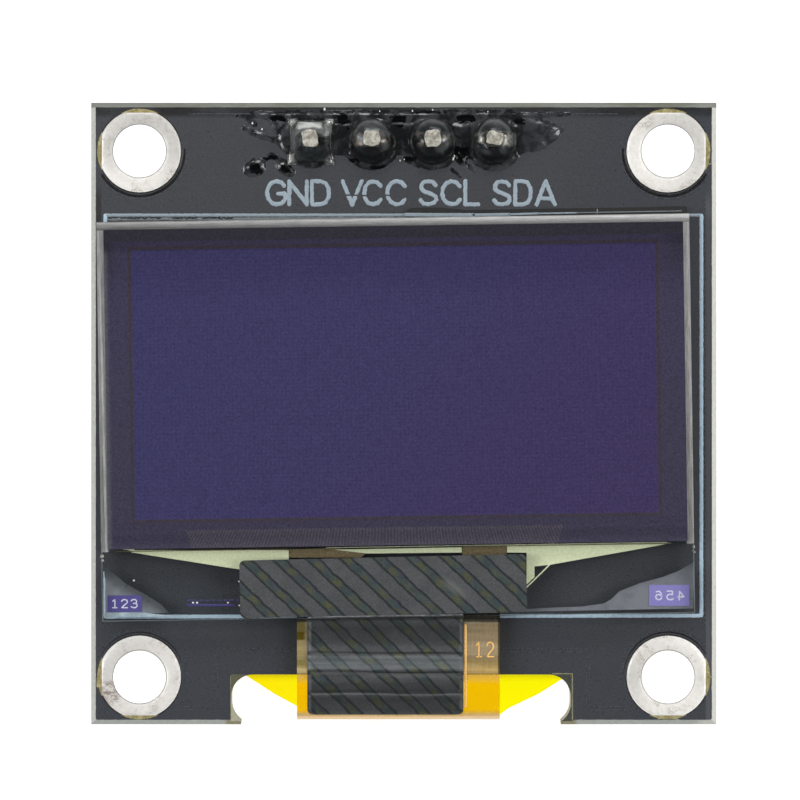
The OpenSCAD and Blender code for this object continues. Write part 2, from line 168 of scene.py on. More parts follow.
def bump(nt, height, strength, dist_mm, normal=None):
    n = node(nt, "ShaderNodeBump", Strength=strength, Distance=dist_mm * MM)
    put(nt, n.inputs["Height"], height)
    if normal is not None:
        put(nt, n.inputs["Normal"], normal)
    return n.outputs[0]


def inside(nt, x, a, b, soft=0.01):
    """1 where a < x < b."""
    return mt(nt, "MULTIPLY", step(nt, x, a - soft, a + soft), step(nt, x, b - soft, b + soft, 1.0, 0.0))


def mul(nt, *xs):
    r = xs[0]
    for x in xs[1:]:
        r = mt(nt, "MULTIPLY", r, x)
    return r


def ramp(nt, x, stops):
    """A value that runs through (position, value) stops, position in the units of x."""
    lo, hi = stops[0][0], stops[-1][0]
    n = node(nt, "ShaderNodeValToRGB")
    put(nt, n.inputs[0], mt(nt, "DIVIDE", mt(nt, "SUBTRACT", x, lo), hi - lo))
    el = n.color_ramp.elements
    el.remove(el[1])
    el[0].position = 0.0
    el[0].color = (stops[0][1],) * 3 + (1,)
    for p, v in stops[1:]:
        el.new((p - lo) / (hi - lo)).color = (v, v, v, 1)
    return sep(nt, n.outputs[0])[0]


def speckle(nt, c, col, amount, scale=15.0):
    """Fine uneven grain over a colour."""
    g = mt(nt, "ADD", 1.0, mt(nt, "MULTIPLY", mt(nt, "SUBTRACT", noise(nt, c, scale, 2, 0.75), 0.5), amount))
    out = vm(nt, "SCALE", col)
    nt.links.new(g, out.node.inputs["Scale"])
    return out


def wall_mask(nt):
    """1 on faces that look sideways, 0 on faces that look up or down."""
    z = sep(nt, node(nt, "ShaderNodeNewGeometry").outputs["True Normal"])[2]
    return step(nt, mt(nt, "ABSOLUTE", z), 0.5, 0.6, 1.0, 0.0)


def material(name, **sockets):
    m = bpy.data.materials.new(name)
    m.use_nodes = True
    nt = m.node_tree
    b = nt.nodes["Principled BSDF"]
    for k, v in sockets.items():
        put(nt, b.inputs[k.replace("_", " ")], v)
    return m, nt, b


# ------------------------------------------------------------------ materials
def mask_material(name, tone=1.0, edges=False, rough=0.30):
    m, nt, b = material(name, IOR=1.5, Coat_Weight=0.25, Coat_Roughness=0.12)
    c = mm_coords(nt)
    x, y, z = sep(nt, c)
    cloud = noise(nt, c, 0.16, 3)
    fine = noise(nt, c, 9.0, 4, 0.65)
    grain = noise(nt, c, 38.0, 2, 0.6)
    up = mt(nt, "SUBTRACT", step(nt, y, -9.0, 9.5), mul(nt, step(nt, x, 5.0, 9.5), step(nt, y, 7.0, 9.0), 0.9))
    warm = mix(nt, up, (0.031 * tone, 0.036 * tone, 0.045 * tone), (0.044 * tone, 0.046 * tone, 0.052 * tone))
    col = mix(nt, step(nt, cloud, 0.3, 0.7, 0.0, 0.5), warm, (0.042 * tone, 0.044 * tone, 0.050 * tone))
    col = mix(nt, step(nt, grain, 0.40, 0.72, 0.0, 0.55), col, (0.082 * tone, 0.083 * tone, 0.090 * tone))
    col = speckle(nt, c, col, 1.5)
    dust = step(nt, voronoi(nt, c, 1.15), 0.035, 0.015)
    col = mix(nt, mul(nt, dust, step(nt, noise(nt, c, 0.9, 1), 0.52, 0.6)), col, (0.22, 0.22, 0.21))
    # glass cloth shows as a faint weave under the mask
    wx = mt(nt, "SINE", mt(nt, "MULTIPLY", x, 13.5))
    wy = mt(nt, "SINE", mt(nt, "MULTIPLY", y, 13.5))
    weave = mt(nt, "MULTIPLY", wx, wy)
    h = mt(nt, "ADD", mt(nt, "MULTIPLY", weave, 0.10), mt(nt, "ADD", mt(nt, "MULTIPLY", fine, 0.55), mt(nt, "MULTIPLY", grain, 0.30)))
    r = mt(nt, "ADD", step(nt, fine, 0.3, 0.75, rough - 0.06, rough + 0.10), mt(nt, "MULTIPLY", grain, 0.06))
    if edges:
        # a darker band runs along the top, the mask is a little paler down the right side, and darker in a patch high
        # on the left side
        col = mix(nt, mul(nt, step(nt, y, 12.28, 12.52), step(nt, noise(nt, stretch(nt, c, (0.6, 1, 1)), 0.9, 3, 0.6), 0.25, 0.6, 0.35, 0.85)), col, (0.010, 0.0095, 0.010))
        col = mix(nt, mul(nt, inside(nt, x, 12.58, 12.78, 0.03), step(nt, y, 9.5, 8.6), 0.7), col, (0.092, 0.092, 0.102))
        col = mix(nt, mul(nt, inside(nt, x, -12.84, -12.60, 0.03), step(nt, y, 7.4, 8.0), step(nt, y, 9.6, 9.0), 0.7), col, (0.020, 0.016, 0.017))
        # raw laminate on the snapped edges and in the routed slot
        rag = mt(nt, "MULTIPLY", mt(nt, "SUBTRACT", noise(nt, c, 2.6, 4, 0.7), 0.5), 0.085)
        ax_, ay_ = mt(nt, "ADD", mt(nt, "ABSOLUTE", x), rag), mt(nt, "ADD", y, rag)
        edge = mt(nt, "MAXIMUM", step(nt, ax_, EDGE_X - 0.23, EDGE_X - 0.20),
                  mt(nt, "MAXIMUM", step(nt, ay_, EDGE_Y1 - 0.23, EDGE_Y1 - 0.20), step(nt, mt(nt, "SUBTRACT", y, rag), EDGE_Y0 + 0.23, EDGE_Y0 + 0.20)))
        edge = mt(nt, "MAXIMUM", edge, step(nt, mt(nt, "SUBTRACT", mt(nt, "ABSOLUTE", x), y), 25.50, 25.54))
        edge = mt(nt, "MAXIMUM", edge, wall_mask(nt))
        along = noise(nt, stretch(nt, c, (3.0, 3.0, 22.0)), 2.2, 5, 0.7)
        fibre = noise(nt, stretch(nt, c, (1.2, 1.2, 9.0)), 5.0, 4, 0.7)
        slot = mul(nt, step(nt, mt(nt, "ABSOLUTE", mt(nt, "SUBTRACT", x, -0.11)), 7.4, 7.2), step(nt, y, -9.5, -10.0))
        pale = mix(nt, step(nt, along, 0.35, 0.68), (0.30, 0.315, 0.275), (0.50, 0.515, 0.485))
        pale = mix(nt, mul(nt, step(nt, x, 12.0, 12.6), step(nt, fibre, 0.35, 0.6, 0.3, 0.9)), pale, (0.66, 0.645, 0.59))
        topside = step(nt, y, EDGE_Y1 - 0.25, EDGE_Y1 - 0.2)
        pale = mix(nt, mul(nt, topside, step(nt, noise(nt, stretch(nt, c, (0.5, 1, 1)), 0.6, 3, 0.6), 0.42, 0.60)), pale, (0.15, 0.145, 0.075))
        pale = mix(nt, mul(nt, topside, 0.80), pale, (0.082, 0.089, 0.068))
        pale = mix(nt, step(nt, fibre, 0.60, 0.78, 0.0, 0.7), pale, (0.28, 0.27, 0.17))
        olive = mix(nt, step(nt, along, 0.35, 0.7), (0.17, 0.145, 0.055), (0.36, 0.33, 0.18))
        raw = mix(nt, slot, pale, olive)
        col = mix(nt, edge, col, raw)
        r = mixf(nt, edge, r, 0.78)
        h = mt(nt, "ADD", mul(nt, h, mt(nt, "SUBTRACT", 1.0, edge)), mul(nt, edge, mt(nt, "MULTIPLY", mt(nt, "ADD", along, fibre), 2.2)))
    put(nt, b.inputs["Base Color"], col)
    put(nt, b.inputs["Roughness"], r)
    put(nt, b.inputs["Normal"], bump(nt, h, 0.45, 0.014))
    return m


def tin_material(name, base=(0.86, 0.855, 0.83), dark=(0.44, 0.42, 0.38), scuff=1.0, barrels=False):
    m, nt, b = material(name, Metallic=0.30, IOR=1.6)
    c = mm_coords(nt)
    big = noise(nt, c, 1.3, 4, 0.6, 0.6)
    mid = noise(nt, c, 5.0, 4, 0.65, 0.4)
    fine = noise(nt, c, 26.0, 3, 0.6)
    scr = noise(nt, stretch(nt, c, (1.0, 7.0, 1.0)), 5.5, 3, 0.7)
    col = mix(nt, step(nt, mid, 0.40, 0.66, 0.0, 0.55), base, (base[0] * 0.80, base[1] * 0.80, base[2] * 0.79))
    col = mix(nt, mul(nt, step(nt, big, 0.52, 0.68), step(nt, fine, 0.42, 0.62), 0.75 * scuff), col, dark)
    col = mix(nt, mul(nt, step(nt, scr, 0.62, 0.74), 0.45 * scuff), col, (0.30, 0.28, 0.25))
    if barrels:
        # handling stains on the lower left ring; the hole walls are painted near-white and made to glow as painted
        # light
        x, y, z = sep(nt, c)
        near = mul(nt, inside(nt, x, -12.65, -11.8, 0.14), inside(nt, y, -12.1, -11.15, 0.16))
        lowl = mul(nt, step(nt, x, -9.0, -9.2), step(nt, y, -9.0, -9.2))
        st = noise(nt, stretch(nt, c, (1.0, 2.2, 1.0)), 3.2, 5, 0.72, 0.8)
        col = mix(nt, mul(nt, near, step(nt, st, 0.43, 0.56), 0.85), col, (0.27, 0.195, 0.165))
        col = mix(nt, mul(nt, lowl, step(nt, st, 0.58, 0.70), 0.45), col, (0.36, 0.27, 0.22))
        hx_, hy_ = mt(nt, "SUBTRACT", mt(nt, "ABSOLUTE", x), 11.0), mt(nt, "SUBTRACT", mt(nt, "ABSOLUTE", y), 10.95)
        rr_ = mt(nt, "SQRT", mt(nt, "ADD", mt(nt, "MULTIPLY", hx_, hx_), mt(nt, "MULTIPLY", hy_, hy_)))
        bore = mul(nt, step(nt, rr_, 1.125, 1.112), step(nt, z, FRONT + 0.02, FRONT - 0.01))
        col = mix(nt, bore, col, (0.93, 0.96, 0.975))
        # each ring gets its own overall tone and a painted shading gradient across it
        left_, low_ = step(nt, x, 0.5, -0.5), step(nt, y, 0.5, -0.5)
        base_ = mixf(nt, low_, mixf(nt, left_, 1.0, 0.86), mixf(nt, left_, 0.98, 0.97))
        gx_ = mixf(nt, low_, mixf(nt, left_, -0.095, 0.02), mixf(nt, left_, 0.06, -0.05))
        gy_ = mixf(nt, low_, mixf(nt, left_, -0.075, -0.13), 0.0)
        qy_ = mixf(nt, low_, mixf(nt, left_, 0.0, 0.09), mixf(nt, left_, 0.17, 0.08))
        ring_tone_and_shading = mt(nt, "ADD", mt(nt, "ADD", base_, mt(nt, "MULTIPLY", hx_, gx_)), mt(nt, "ADD", mt(nt, "MULTIPLY", hy_, gy_), mt(nt, "MULTIPLY", mt(nt, "ABSOLUTE", hy_), qy_)))
        col = vm(nt, "SCALE", col)
        nt.links.new(mixf(nt, step(nt, rr_, 2.2, 2.0), 1.0, ring_tone_and_shading), col.node.inputs["Scale"])
        col = mix(nt, bore, col, (0.93, 0.96, 0.975))
        # painted shade: a dark line round the rim of each hole
        lip = mul(nt, inside(nt, rr_, 1.098, 1.140, 0.008), step(nt, z, FRONT + 0.0, FRONT + 0.010))
        col = mix(nt, mt(nt, "MULTIPLY", lip, 0.75), col, (0.22, 0.21, 0.195))
        # painted light: the hole walls glow faintly
        put(nt, b.inputs["Metallic"], mixf(nt, bore, 0.30, 0.0))
        b.inputs["Emission Color"].default_value = (0.93, 0.97, 1.0, 1)
        put(nt, b.inputs["Emission Strength"], mt(nt, "MULTIPLY", bore, 0.28))
    put(nt, b.inputs["Base Color"], col)
    put(nt, b.inputs["Roughness"], step(nt, mid, 0.3, 0.7, 0.34, 0.56))
    put(nt, b.inputs["Normal"], bump(nt, mt(nt, "ADD", mt(nt, "MULTIPLY", mid, 1.4), mt(nt, "MULTIPLY", fine, 0.5)), 0.30, 0.02))
    return m


def solder_material(name, bright, dark, stain, rough=(0.16, 0.36), metal=0.9):
    m, nt, b = material(name, Metallic=metal, IOR=1.6, Coat_Weight=0.6, Coat_Roughness=0.06)
    c = mm_coords(nt)
    flow = noise(nt, c, 1.2, 3, 0.5, 0.6)
    fine = noise(nt, c, 12.0, 4, 0.6)
    col = mix(nt, step(nt, flow, stain[0], stain[1]), bright, dark)
    col = mix(nt, step(nt, fine, 0.56, 0.72, 0.0, 0.5), col, (bright[0] * 0.55, bright[1] * 0.53, bright[2] * 0.46))
    put(nt, b.inputs["Base Color"], col)
    put(nt, b.inputs["Roughness"], step(nt, fine, 0.3, 0.7, *rough))
    put(nt, b.inputs["Normal"], bump(nt, mt(nt, "ADD", flow, mt(nt, "MULTIPLY", fine, 0.15)), 0.35, 0.04))
    return m


POCKETS = [(-2.62, 12.30, .30, .24), (-2.35, 12.05, .16, .22), (-0.15, 12.20, .38, .28), (2.62, 12.28, .40, .20), (2.42, 10.78, .30, .36), (-2.25, 10.55, .42, .13), (-0.98, 10.27, .52, .09),
           (-3.05, 10.35, .30, .09), (0.15, 10.62, .42, .10), (-5.50, 10.68, .36, .12), (-6.22, 10.26, .34, .28), (-4.86, 10.20, .36, .18), (-5.25, 12.30, .30, .14), (4.85, 12.20, .30, .16), (1.10, 12.55, .60, .06)]


def flux_material():
    m, nt, b = material("flux_residue", IOR=1.50, Coat_Weight=0.6, Coat_Roughness=0.05)
    c = mm_coords(nt)
    a = noise(nt, c, 1.8, 4, 0.55, 0.7)
    f = noise(nt, c, 9.0, 3, 0.6)
    x, y, z = sep(nt, c)
    wx = mt(nt, "ADD", x, mt(nt, "ADD", mt(nt, "MULTIPLY", mt(nt, "SUBTRACT", f, 0.5), 0.20), mt(nt, "MULTIPLY", mt(nt, "SUBTRACT", a, 0.5), 0.9)))
    rag = mt(nt, "ADD", mt(nt, "MULTIPLY", mt(nt, "SUBTRACT", noise(nt, c, 3.4, 3, 0.6), 0.5), 2.6), mt(nt, "MULTIPLY", mt(nt, "SUBTRACT", f, 0.5), 0.7))
    pocket = None
    for cx, cy, rx, ry in POCKETS:
        q = mt(nt, "ADD", mt(nt, "POWER", mt(nt, "ABSOLUTE", mt(nt, "DIVIDE", mt(nt, "SUBTRACT", wx, cx), rx)), 2.0),
               mt(nt, "POWER", mt(nt, "ABSOLUTE", mt(nt, "DIVIDE", mt(nt, "SUBTRACT", y, cy), ry)), 2.0))
        q = step(nt, mt(nt, "ADD", q, rag), 1.15, 0.75)
        pocket = q if pocket is None else mt(nt, "MAXIMUM", pocket, q)
    col = mix(nt, step(nt, a, 0.42, 0.62), (0.0095, 0.0100, 0.0112), (0.040, 0.041, 0.045))
    col = mix(nt, mul(nt, step(nt, x, 4.6, 5.2), step(nt, a, 0.35, 0.6, 0.2, 0.8)), col, (0.040, 0.041, 0.046))
    col = mix(nt, step(nt, f, 0.60, 0.74, 0.0, 0.25), col, (0.070, 0.071, 0.075))
    col = mix(nt, pocket, col, (0.0018, 0.0020, 0.0024))
    put(nt, b.inputs["Base Color"], col)
    put(nt, b.inputs["Roughness"], mixf(nt, pocket, step(nt, a, 0.4, 0.72, 0.07, 0.26), 0.10))
    put(nt, b.inputs["Specular IOR Level"], mixf(nt, pocket, 0.5, 0.2))
    put(nt, b.inputs["Coat Weight"], mixf(nt, pocket, 0.6, 0.1))
    put(nt, b.inputs["Normal"], bump(nt, mt(nt, "ADD", a, mt(nt, "MULTIPLY", f, 0.12)), 0.45, 0.08))
    return m


def ink_material(name="white_ink", base=(0.36, 0.45, 0.54), thin=(0.16, 0.20, 0.24)):
    m, nt, b = material(name, Roughness=0.6)
    c = mm_coords(nt)
    f = noise(nt, c, 6.0, 4, 0.7)
    g = noise(nt, c, 30.0, 3, 0.7)
    col = mix(nt, step(nt, f, 0.52, 0.74, 0.0, 0.55), base, thin)
    col = mix(nt, step(nt, g, 0.55, 0.8, 0.0, 0.4), col, (base[0] * 1.35, base[1] * 1.33, base[2] * 1.3))
    put(nt, b.inputs["Base Color"], col)
    put(nt, b.inputs["Normal"], bump(nt, mt(nt, "ADD", f, g), 0.4, 0.01))
    return m


def plastic_material(name, base, rough=0.5, grain=26.0, lift=0.02):
    m, nt, b = material(name, IOR=1.48)
    c = mm_coords(nt)
    f = noise(nt, c, grain, 4, 0.65)
    g = noise(nt, c, 1.4, 3)
    col = mix(nt, step(nt, g, 0.35, 0.7), base, tuple(v + lift for v in base))
    col = mix(nt, step(nt, f, 0.58, 0.75, 0.0, 0.35), col, tuple(v * 1.6 + 0.01 for v in base))
    put(nt, b.inputs["Base Color"], col)
    put(nt, b.inputs["Roughness"], step(nt, f, 0.3, 0.7, rough - 0.08, rough + 0.1))
    put(nt, b.inputs["Normal"], bump(nt, f, 0.35, 0.012))
    return m


def metal_material(name, base, rough=0.25, tarnish=(0.3, 0.27, 0.2), streak=(1, 1, 6)):
    m, nt, b = material(name, Metallic=1.0)
    c = mm_coords(nt)
    s = noise(nt, stretch(nt, c, streak), 5.0, 4, 0.65)
    g = noise(nt, c, 2.2, 4, 0.6)
    col = mix(nt, step(nt, g, 0.50, 0.74, 0.0, 0.6), base, tarnish)
    col = mix(nt, step(nt, s, 0.45, 0.7, 0.0, 0.35), col, tuple(v * 0.72 for v in base))
    put(nt, b.inputs["Base Color"], col)
    put(nt, b.inputs["Roughness"], step(nt, s, 0.3, 0.7, rough - 0.07, rough + 0.13))
    put(nt, b.inputs["Normal"], bump(nt, s, 0.25, 0.01))
    return m


def panel_coords(nt):
    """Millimetres in the panel's own frame, turned with the glass."""
    c = vm(nt, "SUBTRACT", mm_coords(nt), (PANEL.x, PANEL.y, 0))
    n = node(nt, "ShaderNodeVectorRotate", {"rotation_type": "Z_AXIS"}, Angle=-TURN)
    put(nt, n.inputs["Vector"], c)
    return n.outputs[0]


def polariser_material():
    m, nt, b = material("polariser_film", IOR=1.49, Coat_Weight=0.0)
    c = panel_coords(nt)
    x, y, z = sep(nt, c)
    ax, ay, hx, hy = 0.085, 1.495, 10.79, 5.55
    dx = mt(nt, "SUBTRACT", mt(nt, "ABSOLUTE", mt(nt, "SUBTRACT", x, ax)), hx)
    dy = mt(nt, "SUBTRACT", mt(nt, "ABSOLUTE", mt(nt, "SUBTRACT", y, ay)), hy)
    d = mt(nt, "MAXIMUM", dx, dy)
    grain = noise(nt, c, 55.0, 2, 0.7)
    cloud = noise(nt, c, 0.11, 2)
    across = step(nt, mt(nt, "SUBTRACT", x, mt(nt, "MULTIPLY", y, 0.9)), -9.0, 12.0)
    active = mix(nt, across, (0.0430, 0.0390, 0.1080), (0.0470, 0.0350, 0.0960))
    # rows and columns of the pixel matrix
    p = 2 * hx / 128
    gx = mt(nt, "PINGPONG", mt(nt, "ADD", x, 40.0), p / 2)
    gy = mt(nt, "PINGPONG", mt(nt, "ADD", y, 40.0), p / 2)
    grid = mt(nt, "MAXIMUM", step(nt, gx, p * 0.16, p * 0.06), step(nt, gy, p * 0.16, p * 0.06))
    active = mix(nt, mt(nt, "MULTIPLY", grid, 0.22), active, (0.0240, 0.0200, 0.0620))
    active = mix(nt, step(nt, grain, 0.5, 0.8, 0.0, 0.40), active, (0.070, 0.062, 0.150))
    ring = mix(nt, step(nt, y, -6.0, 7.0), (0.0430, 0.0395, 0.0650), (0.0440, 0.0385, 0.0740))
    line = (0.0430, 0.0350, 0.0490)
    strip = (0.0295, 0.0280, 0.0380)
    col = mix(nt, step(nt, d, -0.01, 0.01), active, (0.0450, 0.0400, 0.0760))
    col = mix(nt, inside(nt, d, 0.03, 0.17, 0.02), col, line)
    col = mix(nt, step(nt, d, 0.18, 0.22), col, ring)
    edge_top = step(nt, y, 7.36, 7.46)
    corner_dim = mul(nt, step(nt, y, 4.8, 7.4), mt(nt, "MAXIMUM", step(nt, x, -11.2, -11.8, 0.0, 0.8), step(nt, x, 11.0, 11.8, 0.0, 0.7)))
    edge_left = mt(nt, "MAXIMUM", corner_dim, step(nt, x, -11.78, -11.86, 0.0, 0.35))
    edge_low = inside(nt, y, -4.52, -4.20, 0.03)
    col = mix(nt, mt(nt, "MAXIMUM", edge_top, edge_left), col, strip)
    col = mix(nt, mul(nt, edge_low, 0.75), col, (0.0400, 0.0360, 0.0620))
    # leads that fan out below the pixels
    spread = mt(nt, "ADD", 7.55, mt(nt, "MULTIPLY", mt(nt, "ADD", y, 5.27), 0.35))
    fan = mul(nt, step(nt, y, -4.50, -4.56), step(nt, mt(nt, "SUBTRACT", mt(nt, "ABSOLUTE", mt(nt, "ADD", x, 0.85)), spread), 0.03, -0.03))
    rays = mt(nt, "SINE", mt(nt, "MULTIPLY", mt(nt, "ADD", x, mt(nt, "MULTIPLY", mul(nt, x, y), 0.05)), 62.0))
    fancol = mix(nt, step(nt, rays, -0.5, 0.6), (0.0480, 0.0440, 0.0640), (0.0680, 0.0600, 0.0760))
    col = mix(nt, fan, col, fancol)
    col = mix(nt, mul(nt, step(nt, grain, 0.52, 0.8, 0.0, 0.5), step(nt, d, 0.0, 0.05)), col, (0.085, 0.078, 0.105))
    # painted shade: darker towards the top of the pixels and over the ring above them, a little darker just below them,
    # and lighter further down
    painted_shading = mul(nt, step(nt, y, 4.4, 7.0, 1.0, 0.84), mixf(nt, inside(nt, y, 7.00, 7.42, 0.06), 1.0, 0.82), step(nt, y, -4.55, -4.75, 1.0, 0.86), step(nt, y, -4.85, -5.35, 1.0, 1.34))
    col = vm(nt, "SCALE", col)
    nt.links.new(painted_shading, col.node.inputs["Scale"])
    col = mix(nt, mul(nt, step(nt, x, -11.60, -11.88, 0.0, 0.55), step(nt, y, 7.3, 6.7)), col, (0.120, 0.122, 0.130))
    wall = wall_mask(nt)
    col = mix(nt, wall, col, (0.06, 0.055, 0.07))
    col = speckle(nt, c, col, 1.35, 14.0)
    put(nt, b.inputs["Base Color"], col)
    put(nt, b.inputs["Roughness"], mixf(nt, wall, step(nt, cloud, 0.3, 0.7, 0.05, 0.09), 0.55))
    ripple = noise(nt, c, 2.6, 3, 0.5)
    put(nt, b.inputs["Normal"], bump(nt, mt(nt, "ADD", mt(nt, "MULTIPLY", ripple, 0.3), mt(nt, "MULTIPLY", grain, 0.08)), 0.10, 0.02))
    return m


def glass_material(name="clear_glass", tint=(0.985, 0.992, 0.990), margins=False):
    """Thin clear glass: a see-through face with a mirror share, and ground edges."""
    m = bpy.data.materials.new(name)
    m.use_nodes = True
    nt = m.node_tree
    nt.nodes.remove(nt.nodes["Principled BSDF"])
    out = nt.nodes["Material Output"]
    c = mm_coords(nt)
    f = noise(nt, stretch(nt, c, (2, 2, 9)), 6.0, 4, 0.7)
    clear = node(nt, "ShaderNodeBsdfTransparent")
    put(nt, clear.inputs["Color"], tint)
    gloss = node(nt, "ShaderNodeBsdfGlossy", Roughness=0.03)
    put(nt, gloss.inputs["Color"], (0.95, 0.97, 0.98))
    face = node(nt, "ShaderNodeMixShader")
    outer = mt(nt, "SUBTRACT", 1.0, node(nt, "ShaderNodeNewGeometry").outputs["Backfacing"])
    put(nt, face.inputs[0], mul(nt, node(nt, "ShaderNodeFresnel", IOR=1.5).outputs[0], outer))
    nt.links.new(clear.outputs[0], face.inputs[1])
    nt.links.new(gloss.outputs[0], face.inputs[2])
    ground = node(nt, "ShaderNodeBsdfPrincipled", Roughness=0.35, IOR=1.5)
    put(nt, ground.inputs["Base Color"], mix(nt, step(nt, f, 0.35, 0.7), (0.16, 0.20, 0.19), (0.50, 0.56, 0.55)))
    put(nt, ground.inputs["Normal"], bump(nt, f, 0.5, 0.02))
    whole = node(nt, "ShaderNodeMixShader")
    frost = mt(nt, "MULTIPLY", wall_mask(nt), 0.8)
    if margins:
        # the strip of bare glass outside the polariser is lit through its ground edge
        p = panel_coords(nt)
        x, y, z = sep(nt, p)
        dl, dr, dt = mt(nt, "ADD", x, 12.25 - GLASS_X), mt(nt, "SUBTRACT", 12.25 + GLASS_X, x), mt(nt, "SUBTRACT", 8.25, y)
        ml, mr, mtop = step(nt, dl, 0.31, 0.29), step(nt, dr, 0.29, 0.27), step(nt, dt, 0.35, 0.33)
        above = step(nt, y, -5.42, -5.36)
        sv, sh_ = noise(nt, stretch(nt, p, (9.0, 0.7, 1.0)), 1.6, 4, 0.65), noise(nt, stretch(nt, p, (0.7, 9.0, 1.0)), 1.6, 4, 0.65)
        pos = mt(nt, "ADD", 0.170, mt(nt, "MULTIPLY", mt(nt, "SUBTRACT", 0.0, y), 0.0095))
        bright_line = step(nt, mt(nt, "ABSOLUTE", mt(nt, "SUBTRACT", dl, pos)), 0.065, 0.02)
        left_tone = mt(nt, "ADD", step(nt, y, -5.0, 6.0, 0.22, 0.31), mul(nt, bright_line, step(nt, y, 6.5, 2.0, 0.05, 0.24)))
        right_tone = mt(nt, "ADD", step(nt, y, -5.0, 5.0, 0.27, 0.38), mul(nt, step(nt, dr, 0.06, 0.02), step(nt, y, 3.0, -1.0), 0.10))
        top_tone = mt(nt, "MULTIPLY", ramp(nt, dt, [(0.0, 0.30), (0.03, 0.46), (0.06, 0.60), (0.10, 0.50), (0.15, 0.38), (0.20, 0.32), (0.25, 0.23), (0.30, 0.19), (0.34, 0.10)]),
                      step(nt, x, -12.0, 12.5, 0.62, 1.10, smooth=False))
        tone = mixf(nt, ml, right_tone, left_tone)
        vary = step(nt, sv, 0.30, 0.70, 0.72, 1.22)
        tone = mt(nt, "MULTIPLY", tone, vary)
        tone = mixf(nt, mtop, tone, mt(nt, "MULTIPLY", top_tone, step(nt, sh_, 0.30, 0.70, 0.82, 1.16)))
        tint_ = vm(nt, "SCALE", mix(nt, sv, (0.97, 1.00, 0.98), (1.02, 0.98, 0.98)))
        nt.links.new(tone, tint_.node.inputs["Scale"])
        margin = mul(nt, mt(nt, "MAXIMUM", mt(nt, "MAXIMUM", ml, mr), mtop), above, mt(nt, "SUBTRACT", 1.0, wall_mask(nt)))
        old = ground.inputs["Base Color"].links[0].from_socket
        put(nt, ground.inputs["Base Color"], mix(nt, margin, old, speckle(nt, c, tint_, 0.6)))
        frost = mt(nt, "MAXIMUM", frost, mt(nt, "MULTIPLY", margin, 0.90))
    put(nt, whole.inputs[0], frost)
    nt.links.new(face.outputs[0], whole.inputs[1])
    nt.links.new(ground.outputs[0], whole.inputs[2])
    nt.links.new(whole.outputs[0], out.inputs["Surface"])
    return m


